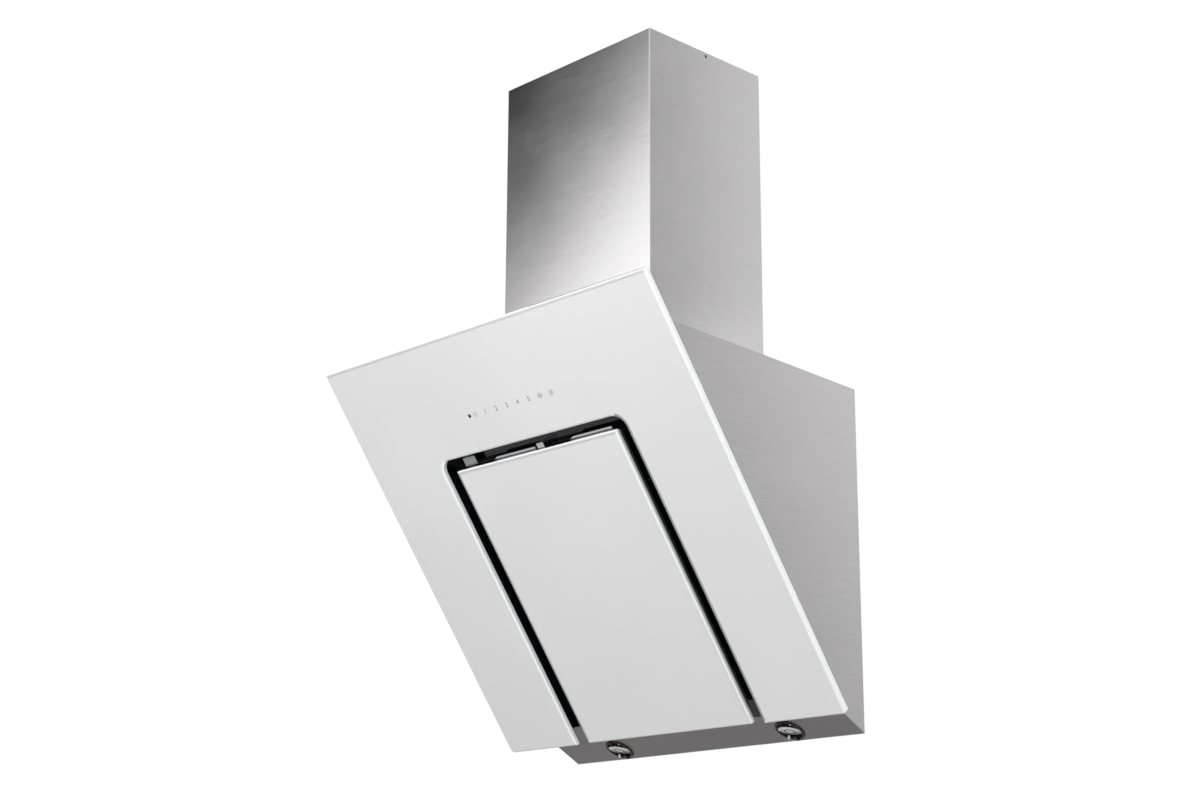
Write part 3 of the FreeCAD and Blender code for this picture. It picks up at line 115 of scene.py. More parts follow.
class Wire:
    """A node's value that can be added, multiplied and mixed with ordinary operators."""

    def __init__(self, tree, socket):
        self.tree = tree
        self.socket = socket

    def maths(self, operation, other, clamp=False):
        node = add_node(self.tree, "ShaderNodeMath", {"operation": operation, "use_clamp": clamp},
                        {0: self, 1: other})
        return Wire(self.tree, node.outputs[0])

    def __add__(self, other):
        return self.maths("ADD", other)

    def __mul__(self, other):
        return self.maths("MULTIPLY", other)

    __radd__ = __add__
    __rmul__ = __mul__

    def clamped(self):
        return self.maths("ADD", 0.0, clamp=True)

    def ramp(self, low, high, first=0.0, last=1.0):
        """Runs smoothly from first to last as this value goes from low to high."""
        node = add_node(self.tree, "ShaderNodeMapRange", {"interpolation_type": "SMOOTHSTEP"},
                        {"Value": self, "From Min": low, "From Max": high, "To Min": first, "To Max": last})
        return Wire(self.tree, node.outputs["Result"])

    def blend(self, first, second):
        """A colour that goes from first to second as this value goes from 0 to 1."""
        node = add_node(self.tree, "ShaderNodeMix", {"data_type": "RGBA"}, {0: self, 6: first, 7: second})
        return Wire(self.tree, node.outputs[2])


class Finish:
    """A material under construction: one Principled shader and the values that feed it."""

    def __init__(self, name, colour, roughness=0.5, metallic=0.0, **constants):
        self.material = bpy.data.materials.new(name)
        self.material.use_nodes = True
        self.tree = self.material.node_tree
        self.shader = self.tree.nodes["Principled BSDF"]
        self.material.diffuse_color = (*colour, 1.0)
        self.set("Base Color", colour)
        self.set("Roughness", roughness)
        self.set("Metallic", metallic)
        for key, value in constants.items():
            self.set(key.replace("_", " "), value)
        self.place = self.value("ShaderNodeTexCoord", "Object")

    def set(self, name, value):
        feed(self.tree, self.shader.inputs[name], value)

    def value(self, kind, output, **sockets):
        """One output of a new node, as a wire."""
        return Wire(self.tree, add_node(self.tree, kind, None, sockets).outputs[output])

    def stretched(self, scale):
        """Object coordinates scaled apart along X, Y and Z."""
        return self.value("ShaderNodeMapping", "Vector", Vector=self.place, Scale=scale)

    def noise(self, scale, detail=2.0, vector=None, roughness=0.5):
        return self.value("ShaderNodeTexNoise", 0, Vector=vector or self.place, Scale=scale, Detail=detail,
                          Roughness=roughness)

    def cells(self, scale):
        return self.value("ShaderNodeTexVoronoi", "Distance", Vector=self.place, Scale=scale)

    def bump(self, height, strength, distance):
        self.set("Normal", self.value("ShaderNodeBump", "Normal", Height=height, Strength=strength,
                                      Distance=distance))


def shaded(colour, factor):
    """A colour made darker or lighter by a factor, up to white."""
    return tuple(min(1.0, value * factor) for value in colour)


# ---------------------------------------------------------------- finishes


def brushed_steel(name, colour, roughness, grain, strength=0.10):
    """Steel with fine lines: grain gives how fast the brushing changes along X, Y and Z."""
    finish = Finish(name, colour, roughness, 1.0, Anisotropic=0.45)
    lines = finish.noise(1.0, 3.0, finish.stretched(grain), 0.62)
    clouds = finish.noise(9.0, 3.0)
    finish.set("Roughness", lines * 0.10 + clouds * 0.07 + (roughness - 0.085))
    tone = (lines * 0.75 + clouds * 0.25).ramp(0.30, 0.70)
    finish.set("Base Color", tone.blend(shaded(colour, 0.90), shaded(colour, 1.07)))
    finish.bump(lines, strength, 0.00012)
    return finish.material


def zinc_steel(name, colour, roughness=0.34):
    """Galvanised sheet or plain aluminium: pale flakes under faint clouds."""
    finish = Finish(name, colour, roughness, 0.9)
    flakes = finish.cells(90.0)
    clouds = finish.noise(35.0, 4.0)
    finish.set("Roughness", flakes * 0.12 + clouds * 0.10 + (roughness - 0.10))
    finish.set("Base Color", flakes.ramp(0.1, 0.8).blend(colour, shaded(colour, 0.82)))
    finish.bump(clouds, 0.12, 0.0002)
    return finish.material


def moulded(name, colour, roughness=0.45, grain=2200.0, strength=0.15):
    """Plastic, rubber or paint with a fine skin."""
    finish = Finish(name, colour, roughness)
    fine = finish.noise(grain, 2.0)
    wide = finish.noise(40.0, 3.0)
    finish.set("Roughness", fine * 0.10 + wide * 0.10 + (roughness - 0.10))
    finish.set("Base Color", wide.ramp(0.3, 0.7).blend(shaded(colour, 0.9), colour))
    finish.bump(fine, strength, 0.0001)
    return finish.material


def black_enamel():
    """The dark gloss inside the recess round the centre panel."""
    finish = Finish("black_enamel", (0.006, 0.006, 0.008), 0.10, 0.0, Coat_Weight=0.35, Coat_Roughness=0.04)
    peel = finish.noise(420.0, 2.0)
    dust = finish.noise(2600.0, 2.0)
    finish.set("Roughness", peel * 0.10 + dust.ramp(0.66, 0.80) * 0.2 + 0.06)
    finish.set("Base Color", dust.ramp(0.62, 0.85).blend((0.005, 0.005, 0.007), (0.022, 0.022, 0.025)))
    finish.bump(peel, 0.05, 0.0002)
    return finish.material


def painted_glass(colour):
    """Enamel seen through the pane: a soft body colour under a hard clear surface."""
    finish = Finish("painted_glass", colour, 0.42, 0.0, Coat_Weight=1.0, Coat_Roughness=0.015,
                    Coat_IOR=1.5, Specular_IOR_Level=0.15)
    clouds = finish.noise(3.0, 2.0)
    specks = finish.noise(900.0, 2.0)
    shade = clouds.ramp(0.35, 0.65) * 0.8 + specks * 0.2
    finish.set("Base Color", shade.blend(shaded(colour, 0.958), colour))
    finish.set("Roughness", specks * 0.08 + 0.38)
    return finish.material


def glass_edge(name, colour, glow):
    """The ground edges of the panes. The glow is a painted glow of light caught in the clear glass over the
    enamel; the bright and the near-black copies are painted light and painted shade.
    """
    finish = Finish(name, colour, 0.22, 0.0, Coat_Weight=1.0, Coat_Roughness=0.05,
                    Emission_Color=(1.0, 1.0, 1.0), Emission_Strength=glow)
    streaks = finish.noise(1.0, 3.0, finish.stretched((60.0, 60.0, 60.0)))
    finish.set("Base Color", streaks.ramp(0.3, 0.7).blend(shaded(colour, 0.96), colour))
    finish.set("Roughness", streaks * 0.15 + 0.12)
    return finish.material


def key_print():
    """The grey print of the touch keys."""
    finish = Finish("key_print", (0.16, 0.17, 0.18), 0.35)
    specks = finish.noise(3000.0, 2.0)
    finish.set("Base Color", specks.ramp(0.3, 0.7).blend((0.20, 0.205, 0.21), (0.27, 0.275, 0.28)))
    return finish.material


def key_lens():
    """The black gloss of the small receiver beside the keys."""
    finish = Finish("key_lens", (0.008, 0.008, 0.009), 0.08, 0.0, Coat_Weight=1.0)
    specks = finish.noise(2000.0, 2.0)
    finish.set("Roughness", specks * 0.06 + 0.05)
    return finish.material


def polished_steel(name, colour):
    """Bright turned or pressed metal with a faint swirl."""
    finish = Finish(name, colour, 0.10, 1.0)
    swirl = finish.noise(260.0, 3.0)
    finish.set("Roughness", swirl * 0.10 + 0.05)
    finish.set("Base Color", swirl.ramp(0.3, 0.7).blend(shaded(colour, 0.93), colour))
    return finish.material


def lamp_lens_finish():
    """Frosted plastic over the light source."""
    finish = Finish("lamp_lens_finish", (0.78, 0.79, 0.77), 0.28, 0.0, Subsurface_Weight=0.2,
                    Subsurface_Radius=(0.003, 0.003, 0.003), Coat_Weight=0.6, Coat_Roughness=0.08)
    pearls = finish.cells(1400.0)
    finish.set("Base Color", pearls.ramp(0.0, 0.6).blend((0.84, 0.85, 0.83), (0.70, 0.71, 0.70)))
    finish.bump(pearls, 0.25, 0.0001)
    return finish.material


def circuit_board():
    """Green board with paler traces."""
    finish = Finish("circuit_board", (0.03, 0.16, 0.07), 0.35)
    traces = finish.noise(260.0, 1.0)
    finish.set("Base Color", traces.ramp(0.48, 0.52).blend((0.02, 0.12, 0.05), (0.05, 0.22, 0.10)))
    return finish.material


MATERIALS = {}


def make_materials(settings):
    """Every finish, keyed by name."""
    chimney, body, underside = settings.chimney_colour, settings.body_colour, settings.underside_painted_shade_colour
    MATERIALS.update({
        "chimney": brushed_steel("chimney_steel", tuple(chimney), 0.15, (22.0, 22.0, 5200.0), 0.12),
        "body": brushed_steel("body_steel", tuple(body), 0.24, (22.0, 22.0, 4200.0)),
        # The underside's steel is darker than the body's steel: painted shade on the downward-facing sheet.
        "underside": brushed_steel("underside_steel", tuple(underside), 0.40, (30.0, 4200.0, 4200.0)),
        "back": zinc_steel("back_steel", (0.55, 0.56, 0.57), 0.42),
        "zinc": zinc_steel("zinc_steel", (0.62, 0.63, 0.64)),
        "enamel": black_enamel(),
        "glass": painted_glass(tuple(settings.glass_colour)),
        # The glass edges: a faint painted glow on the plain ground edge, a bright glowing copy as painted
        # light and a near-black copy as painted shade.
        "edge": glass_edge("glass_edge", (0.66, 0.68, 0.67), 0.03),
        "edge_painted_light": glass_edge("glass_edge_lit", (0.90, 0.92, 0.91), 0.12),
        "edge_painted_shade": glass_edge("glass_edge_dark", (0.05, 0.055, 0.06), 0.0),
        "print": key_print(),
        "lens_black": key_lens(),
        "polished": polished_steel("polished_steel", (0.78, 0.79, 0.80)),
        "well": moulded("lamp_well", (0.004, 0.004, 0.004), 0.6),
        "lamp_rim": polished_steel("lamp_rim", (0.055, 0.048, 0.035)),
        "striker": polished_steel("striker_chrome", (0.92, 0.92, 0.95)),
        "rivet": polished_steel("rivet_steel", (0.55, 0.66, 0.90)),
        "foot": moulded("recess_foot", (0.016, 0.009, 0.006), 0.25),
        "lamp_lens": lamp_lens_finish(),
        "lamp_dark": moulded("lamp_dark", (0.03, 0.03, 0.032), 0.35),
        "aluminium": zinc_steel("filter_aluminium", (0.70, 0.71, 0.72), 0.30),
        "plastic": moulded("black_plastic", (0.030, 0.030, 0.033), 0.42),
        "grey": moulded("grey_plastic", (0.36, 0.37, 0.38), 0.40),
        "board": circuit_board(),
        "motor": moulded("motor_enamel", (0.11, 0.115, 0.12), 0.32, 700.0),
        "rubber": moulded("rubber", (0.02, 0.02, 0.02), 0.8, 1400.0, 0.4),
    })


NODE_FINISH = {
    "chimney": ("chimney_outer", "chimney_inner"),
    "body": ("left_side_panel", "right_side_panel", "top_panel"),
    "underside": ("lamp_panel",),
    "back": ("back_panel",),
    "enamel": ("front_frame", "suction_tray"),
    "zinc": ("glass_rail_left", "glass_rail_right", "hinge_bracket_left", "hinge_bracket_right", "panel_tray",
             "motor_carrier", "inlet_guard", "chimney_wall_bracket", "chimney_foot_left",
             "chimney_foot_right", "capacitor_clip", "control_box_lid"),
    "polished": ("hinge_pin_left", "hinge_pin_right", "motor_shaft", "flap_pin", "tray_screws",
                 "lamp_bezel_left", "lamp_bezel_right"),
    "striker": ("panel_post",),
    "lamp_rim": ("lamp_clips_left", "lamp_clips_right"),
    "glass": ("front_glass", "centre_glass"),
    "aluminium": ("filter_frame", "filter_mesh", "motor_capacitor"),
    "plastic": ("panel_catch_left", "panel_catch_right", "touch_cover", "cable_gland", "control_box",
                "blower_housing_left", "blower_housing_right", "outlet_adapter", "outlet_collar",
                "collar_flange", "filter_latch", "lamp_driver"),
    "grey": ("impeller", "flap_front", "flap_rear", "filter_handle"),
    "board": ("touch_board",),
    "lamp_dark": ("lamp_can_left", "lamp_can_right"),
    "lamp_lens": ("lamp_lens_left", "lamp_lens_right"),
    "motor": ("motor",),
    "rubber": ("blower_mounts",),
}


# ---------------------------------------------------------------- mesh helpers


def link(name, mesh, materials, body, smooth=None):
    """Puts a mesh into the scene as a piece that rides on a body, smoothed below an angle if one is given."""
    piece = bpy.data.objects.new(name, mesh)
    bpy.context.scene.collection.objects.link(piece)
    for material in materials:
        mesh.materials.append(MATERIALS[material])
    if smooth is not None:
        for polygon in mesh.polygons:
            polygon.use_smooth = True
        mesh.set_sharp_from_angle(angle=math.radians(smooth))
    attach(piece, body)
    return piece


def finish_mesh(name, build):
    """Turns all faces outwards and ends the construction as a plain mesh."""
    bmesh.ops.recalc_face_normals(build, faces=build.faces)
    mesh = bpy.data.meshes.new(name)
    build.to_mesh(mesh)
    build.free()
    return mesh


def rounded(corners, steps=8):
    """The points of an outline whose corners are (x, z) or (x, z, radius)."""
    points = []
    for index, corner in enumerate(corners):
        here = Vector(corner[:2])
        if len(corner) == 2:
            points.append(here)
            continue
        before = (Vector(corners[index - 1][:2]) - here).normalized()
        after = (Vector(corners[(index + 1) % len(corners)][:2]) - here).normalized()
        radius = corner[2]
        centre = here + (before + after) * radius
        for step in range(steps + 1):
            angle = math.pi / 2 * step / steps
            points.append(centre - after * radius * math.cos(angle) - before * radius * math.sin(angle))
    return points


def inset(points, distance):
    """An outline moved inwards by a distance; the points run counter-clockwise."""
    sharpest = 0.3
    moved = []
    for index, point in enumerate(points):
        before = (point - points[index - 1]).normalized()
        after = (points[(index + 1) % len(points)] - point).normalized()
        normal_a, normal_b = Vector((-before.y, before.x)), Vector((-after.y, after.x))
        middle = (normal_a + normal_b).normalized()
        moved.append(point + middle * distance / max(sharpest, middle.dot(normal_a)))
    return moved


# Sides of what is turned, and the angles in degrees below which turned and copied pieces look smooth.
ROUND, WELL_ROUND, SMALL_ROUND, SCREW_ROUND, RIVET_ROUND = 96, 64, 40, 20, 14
ROUND_ANGLE, COPY_ANGLE = 40, 35

# A pane's material slots, and what each band of its border has where the border faces left: bands of painted
# shade between plain ground bands. The lit and dark slots carry painted light and painted shade.
FACE, GROUND, PAINTED_LIGHT, PAINTED_SHADE = range(4)
PANE_MATERIALS = ("glass", "edge", "edge_painted_light", "edge_painted_shade")
LEFT_PAINTED_BANDS = (PAINTED_SHADE, GROUND, PAINTED_SHADE, GROUND, PAINTED_SHADE, PAINTED_SHADE)
BORDER_SHARES = (1.0, 0.76, 0.52, 0.28)
BACK_CHAMFER = 0.0004
SLANT = 0.35


def edge_slot(start, end, band):
    """The material slot of a border face between two points of the outline.

    An edge that faces right or up gets painted light: the bright, glowing slot. Round the cut-out and on the
    centre glass, an edge that faces left gets bands of painted shade between plain ground bands."""
    along = (end - start).normalized()
    chamfered = band >= len(BORDER_SHARES) - 1
    if along.y > SLANT or (along.x < -SLANT and chamfered):
        return PAINTED_LIGHT
    if along.y < -SLANT and abs(start.x) < GLASS_WIDE / 3:
        return LEFT_PAINTED_BANDS[band]
    return GROUND if band > 1 else FACE


def pane_mesh(name, corners, front, back, border, fall):
    """A pane in the glass frame whose enamel ends at a clear border with a ground edge."""
    outer = rounded(corners)
    rings = [(inset(outer, border * share), front) for share in BORDER_SHARES]
    rings += [(outer, front + fall), (outer, back - BACK_CHAMFER), (inset(outer, BACK_CHAMFER), back)]
    build = bmesh.new()
    rows = [[build.verts.new(GLASS @ Vector((p.x, depth, p.y))) for p in ring] for ring, depth in rings]
    count = len(outer)
    for band, (first, second) in enumerate(zip(rows, rows[1:])):
        for index in range(count):
            after = (index + 1) % count
            face = build.faces.new((first[index], first[after], second[after], second[index]))
            face.material_index = edge_slot(outer[index], outer[after], band)
    for row in (rows[0], rows[-1]):
        edges = [build.edges.get((row[i], row[(i + 1) % count])) for i in range(count)]
        bmesh.ops.triangle_fill(build, edges=edges, use_beauty=True)
    return finish_mesh(name, build)


def softened(name, node, picks, width, steps):
    """A copy of a carried-over sheet whose chosen sharp folds are rounded."""
    build = bmesh.new()
    build.from_mesh(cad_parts[node].data)
    bmesh.ops.remove_doubles(build, verts=build.verts, dist=1e-6)
    folds = [edge for edge in build.edges if all(picks(vert.co) for vert in edge.verts)
             and len(edge.link_faces) == 2 and edge.calc_face_angle(0) > 0.5]
    bmesh.ops.bevel(build, geom=folds, offset=width, segments=steps, profile=0.5, affect="EDGES",
                    clamp_overlap=True)
    return finish_mesh(name, build)


def lathe(build, profile, matrix, segments, material=0):
    """Turns (radius, height) points about the matrix's Z axis. A radius of 0 closes the end."""
    rings = []
    for radius, height in profile:
        if radius <= 0:
            rings.append([build.verts.new(matrix @ Vector((0, 0, height)))])
            continue
        ring = []
        for step in range(segments):
            angle = 2 * math.pi * step / segments
            spot = Vector((radius * math.cos(angle), radius * math.sin(angle), height))
            ring.append(build.verts.new(matrix @ spot))
        rings.append(ring)
    for first, second in zip(rings, rings[1:]):
        if len(first) == 1 and len(second) == 1:
            continue
        for index in range(segments):
            after = (index + 1) % segments
            if len(first) == 1:
                corners = (first[0], second[after], second[index])
            elif len(second) == 1:
                corners = (first[index], first[after], second[0])
            else:
                corners = (first[index], first[after], second[after], second[index])
            build.faces.new(corners).material_index = material


def box_into(build, low, high, matrix, chamfer=0.0):
    """Adds a box between two corners, with its edges rounded off by a chamfer."""
    low, high = Vector(low), Vector(high)
    made = bmesh.ops.create_cube(build, size=1.0)["verts"]
    for vert in made:
        vert.co = Vector([(low[i] + high[i]) / 2 + vert.co[i] * (high[i] - low[i]) for i in range(3)])
    if chamfer:
        faces = {face for vert in made for face in vert.link_faces}
        edges = {edge for vert in made for edge in vert.link_edges}
        result = bmesh.ops.bevel(build, geom=list(edges), offset=chamfer, segments=2, profile=0.7,
                                 affect="EDGES")
        faces = {face for face in faces if face.is_valid} | set(result["faces"])
        made = {vert for face in faces for vert in face.verts}
    for vert in made:
        vert.co = matrix @ vert.co


def join_rings(build, rows):
    """Walls between neighbouring rows of points, each row a closed ring."""
    for first, second in zip(rows, rows[1:]):
        for index in range(len(first)):
            after = (index + 1) % len(first)
            build.faces.new((first[index], first[after], second[after], second[index]))


# ---------------------------------------------------------------- geometry nodes


def copies_tree(name):
    """A tree that sets a piece on every point, turned by the point's own turn, and paints it.

    Also returns its inputs' identifiers by name."""
    tree = bpy.data.node_groups.new(name, "GeometryNodeTree")
    tree.interface.new_socket("Geometry", in_out="OUTPUT", socket_type="NodeSocketGeometry")
    kinds = {"Geometry": "NodeSocketGeometry", "Piece": "NodeSocketObject", "Size": "NodeSocketFloat",
             "Finish": "NodeSocketMaterial"}
    inputs = {word: tree.interface.new_socket(word, in_out="INPUT", socket_type=kind).identifier
              for word, kind in kinds.items()}
    entry = add_node(tree, "NodeGroupInput")
    points, piece, size, finish = (Wire(tree, entry.outputs[word]) for word in kinds)
    source = add_node(tree, "GeometryNodeObjectInfo", None, {"Object": piece})
    turn = add_node(tree, "GeometryNodeInputNamedAttribute", {"data_type": "FLOAT_VECTOR"}, {"Name": "turn"})
    rotation = add_node(tree, "FunctionNodeEulerToRotation", None, {0: Wire(tree, turn.outputs["Attribute"])})
    copies = add_node(tree, "GeometryNodeInstanceOnPoints", None, {
        "Points": points, "Instance": Wire(tree, source.outputs["Geometry"]),
        "Rotation": Wire(tree, rotation.outputs[0]), "Scale": size})
    real = add_node(tree, "GeometryNodeRealizeInstances", None, {0: Wire(tree, copies.outputs[0])})
    paint = add_node(tree, "GeometryNodeSetMaterial", None,
                     {"Geometry": Wire(tree, real.outputs[0]), "Material": finish})
    add_node(tree, "NodeGroupOutput", None, {0: Wire(tree, paint.outputs[0])})
    return tree, inputs


def scatter(name, points, seed_mesh, material):
    """Copies a small mesh to every point with Geometry Nodes and returns one plain mesh.

    Each point is a matrix. The copies' places are the points of a carrier mesh, and their turns
    are stored on it as an attribute."""
    carrier = bpy.data.meshes.new(f"{name}_points")
    carrier.from_pydata([tuple(matrix.translation) for matrix in points], [], [])
    turns = carrier.attributes.new("turn", "FLOAT_VECTOR", "POINT")
    for index, matrix in enumerate(points):
        turns.data[index].vector = matrix.to_euler("XYZ")
    holder = bpy.data.objects.new(f"{name}_holder", carrier)
    seed = bpy.data.objects.new(f"{name}_seed", seed_mesh)
    for item in (holder, seed):
        bpy.context.scene.collection.objects.link(item)
    tree, inputs = copies_tree(f"{name}_copies")
    modifier = holder.modifiers.new("copies", "NODES")
    modifier.node_group = tree
    modifier[inputs["Piece"]] = seed
    modifier[inputs["Size"]] = 1.0
    modifier[inputs["Finish"]] = MATERIALS[material]
    bpy.context.view_layer.update()
    graph = bpy.context.evaluated_depsgraph_get()
    mesh = bpy.data.meshes.new_from_object(holder.evaluated_get(graph))
    mesh.name = name
    bpy.data.objects.remove(holder)
    bpy.data.objects.remove(seed)
    return mesh


# ---------------------------------------------------------------- settings


class HoodSettings(bpy.types.PropertyGroup):
    """The sizes, the colours and the light that a user would change"""
    border: FloatProperty(name="Ground border", description="Width of the clear ground border of the panes",
                          default=0.0040, min=0.0005, max=0.006, unit="LENGTH")
    fall: FloatProperty(name="Border fall", description="How far the ground border falls back",
                        default=0.0008, min=0.0002, max=0.003, unit="LENGTH")
    key_size: FloatProperty(name="Key size", description="Type size of the printed key figures",
                            default=0.0092, min=0.004, max=0.02, unit="LENGTH")
    key_pitch: FloatProperty(name="Key pitch", description="Distance between neighbouring touch keys",
                             default=0.0202, min=0.01, max=0.04, unit="LENGTH")
    strand: FloatProperty(name="Mesh strand", description="Width of a strand of the filter's expanded mesh",
                          default=0.0011, min=0.0004, max=0.003, unit="LENGTH")
    glass_colour: FloatVectorProperty(
        name="Glass", description="Colour of the enamel behind the panes",
        default=(0.835, 0.835, 0.833), min=0.0, max=1.0, subtype="COLOR")
    chimney_colour: FloatVectorProperty(
        name="Chimney steel", description="Colour of the chimney's steel",
        default=(0.48, 0.472, 0.475), min=0.0, max=1.0, subtype="COLOR")
    body_colour: FloatVectorProperty(
        name="Body steel", description="Colour of the steel of the body's sides and top",
        default=(0.46, 0.452, 0.458), min=0.0, max=1.0, subtype="COLOR")
    # Darker than the body's steel: painted shade on the downward-facing underside.
    underside_painted_shade_colour: FloatVectorProperty(
        name="Underside steel", description="Colour of the sloping underside",
        default=(0.285, 0.262, 0.275), min=0.0, max=1.0, subtype="COLOR")
    light: FloatProperty(name="Light", description="Factor on the power of the studio lamps",
                         default=1.0, min=0.0, max=4.0)


# ---------------------------------------------------------------- pieces


def front_outline():
    """The front glass seen from the front, from its lower left corner round the cut-out."""
    half, cut = GLASS_WIDE / 2, CUT_WIDE / 2
    return [(-half, 0.0, LOWER_CORNER), (-cut, 0.0), (-cut, CUT_TALL, CUT_CORNER),
            (cut, CUT_TALL, CUT_CORNER), (cut, 0.0), (half, 0.0, LOWER_CORNER),
            (half, GLASS_TALL, UPPER_CORNER), (-half, GLASS_TALL, UPPER_CORNER)]


def centre_outline():
    """The centre glass seen from the front, from its lower left corner."""
    half = PANEL_WIDE / 2
    corners = ((-half, 0.0), (half, 0.0), (half, PANEL_TALL), (-half, PANEL_TALL))
    return [(x, z, PANEL_CORNER) for x, z in corners]


class HOOD_OT_finishes(bpy.types.Operator):
    """Give every carried-over part its finish"""
    bl_idname = "hood.finishes"
    bl_label = "Finishes"

    def execute(self, context):
        make_materials(context.scene.hood)
        for finish, nodes in NODE_FINISH.items():
            for node in nodes:
                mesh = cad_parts[node].data
                mesh.materials.clear()
                mesh.materials.append(MATERIALS[finish])
        return {"FINISHED"}


class HOOD_OT_panes(bpy.types.Operator):
    """Make the leaning front glass and the centre glass, with ground edges"""
    bl_idname = "hood.panes"
    bl_label = "Glass panes"

    def execute(self, context):
        border, fall = context.scene.hood.border, context.scene.hood.fall
        mesh = pane_mesh("front_pane", front_outline(), 0.0, GLASS_THICK, border, fall)
        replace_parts(link("front_pane", mesh, PANE_MATERIALS, "hood"), "front_glass")
        mesh = pane_mesh("centre_pane", centre_outline(), PANEL_FACE, PANEL_BACK, border, fall)
        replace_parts(link("centre_pane", mesh, PANE_MATERIALS, "centre_panel"), "centre_glass")
        return {"FINISHED"}


# The sheets' rounded folds as (width, steps), and how near to a fold's place its points are.
CHIMNEY_FOLD, SIDE_FOLD, NEAR = (0.0028, 5), (0.0007, 2), 1e-4


class HOOD_OT_folds(bpy.types.Operator):
    """Round the folds of the visible steel sheets"""
    bl_idname = "hood.folds"
    bl_label = "Folds"

    def execute(self, context):
        def upright(spot):
            return abs(abs(spot.x) - CHIMNEY_HALF) < NEAR and abs(spot.y - CHIMNEY_FRONT) < NEAR

        mesh = softened("chimney_shell", "chimney_outer", upright, *CHIMNEY_FOLD)
        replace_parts(link("chimney_shell", mesh, ("chimney",), "hood"), "chimney_outer")
        for word, side in (("left", -1), ("right", 1)):
            mesh = softened(f"side_{word}", f"{word}_side_panel",
                            lambda spot, x=side * BODY_HALF: abs(spot.x - x) < NEAR, *SIDE_FOLD)
            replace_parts(link(f"side_{word}", mesh, ("body",), "hood"), f"{word}_side_panel")
        return {"FINISHED"}


# The row of touch keys: how far up the glass it is, and the places across.
KEY_ROW = 0.469
RECEIVER, STANDBY_KEY, FIRST_FIGURE, TIMER_KEY, LIGHT_KEY = -0.0755, -0.0645, -0.045, 0.0560, 0.0762
FIGURES = 5
PRINT_LIFT, PRINT_THICK = 0.00012, 0.00008

# The keys' printed rings as (place, outer radius, inner radius), the timer's bar and the light's rays.
KEY_RINGS = ((STANDBY_KEY, 0.0026, 0.0020), (TIMER_KEY, 0.0034, 0.0028), (LIGHT_KEY, 0.0022, 0.0015))
HALF_BAR, HALF_LINE = 0.0035, 0.0004
RAYS, RAY_START, RAY_END, HALF_RAY = 8, 0.0030, 0.0044, 0.00022
RECEIVER_CAP = [(0, 0.00015), (0.0022, 0.00015), (0.0025, 0.0), (0.0025, -0.0001), (0, -0.0001)]


class HOOD_OT_keys(bpy.types.Operator):
    """Print the touch keys on the glass"""
    bl_idname = "hood.keys"
    bl_label = "Touch keys"

    def execute(self, context):
        settings = context.scene.hood
        upright = Matrix.Rotation(math.pi / 2, 4, "X")
        build = bmesh.new()
        for number in range(FIGURES):
            curve = bpy.data.curves.new(f"key_{number + 1}", "FONT")
            curve.body = str(number + 1)
            curve.size = settings.key_size
            curve.align_x, curve.align_y = "CENTER", "CENTER"
            curve.extrude = PRINT_THICK / 2
            carrier = bpy.data.objects.new(curve.name, curve)
            context.scene.collection.objects.link(carrier)
            context.view_layer.update()
            mesh = bpy.data.meshes.new_from_object(carrier.evaluated_get(context.evaluated_depsgraph_get()))
            spot = (FIRST_FIGURE + settings.key_pitch * number, -PRINT_LIFT, KEY_ROW)
            mesh.transform(GLASS @ Matrix.Translation(spot) @ upright)
            build.from_mesh(mesh)
            bpy.data.objects.remove(carrier)
            bpy.data.meshes.remove(mesh)
        facing = GLASS @ Matrix.Translation((0, -PRINT_LIFT - PRINT_THICK / 2, KEY_ROW)) @ upright
        for x, outer, inner in KEY_RINGS:
            profile = [(inner, 0), (outer, 0), (outer, -PRINT_THICK), (inner, -PRINT_THICK), (inner, 0)]
            lathe(build, profile, facing @ Matrix.Translation((x, 0, 0)), SMALL_ROUND)
        low = (TIMER_KEY - HALF_BAR, -HALF_LINE, -PRINT_THICK)
        box_into(build, low, (TIMER_KEY + HALF_BAR, HALF_LINE, 0), facing)
        light = facing @ Matrix.Translation((LIGHT_KEY, 0, 0))
        for ray in range(RAYS):
            turn = light @ Matrix.Rotation(2 * math.pi / RAYS * ray, 4, "Z")
            box_into(build, (RAY_START, -HALF_RAY, -PRINT_THICK), (RAY_END, HALF_RAY, 0), turn)
        link("key_figures", finish_mesh("key_figures", build), ("print",), "hood")
        build = bmesh.new()
        lathe(build, RECEIVER_CAP, facing @ Matrix.Translation((RECEIVER, 0, 0)), SMALL_ROUND)
        mesh = finish_mesh("key_receiver", build)
        link("key_receiver", mesh, ("lens_black",), "hood", ROUND_ANGLE)
        return {"FINISHED"}


# What is turned about a lamp's axis, as (radius, height): the heights grow into the body.
THROAT, RIM, SEAT, WELL_WALL = 0.0163, 0.0205, 0.0178, 0.01625
BEZEL_END, WELL_FLOOR, WELL_LIP = 0.0054, 0.0053, -0.0004
BEZEL = [(THROAT, WELL_FLOOR), (THROAT, -0.0010), (0.0167, -0.0018), (0.0174, -0.0020), (0.0188, -0.0019),
         (0.0199, -0.0012), (RIM, -0.0003), (RIM, 0.0), (SEAT, 0.0), (SEAT, BEZEL_END), (THROAT, BEZEL_END),
         (THROAT, WELL_FLOOR)]
WELL_OUTER = THROAT - 0.00001
WELL = [(WELL_OUTER, BEZEL_END), (WELL_OUTER, WELL_LIP), (WELL_WALL, WELL_LIP), (WELL_WALL, WELL_FLOOR),
        (0, WELL_FLOOR), (0, BEZEL_END), (WELL_OUTER, BEZEL_END)]

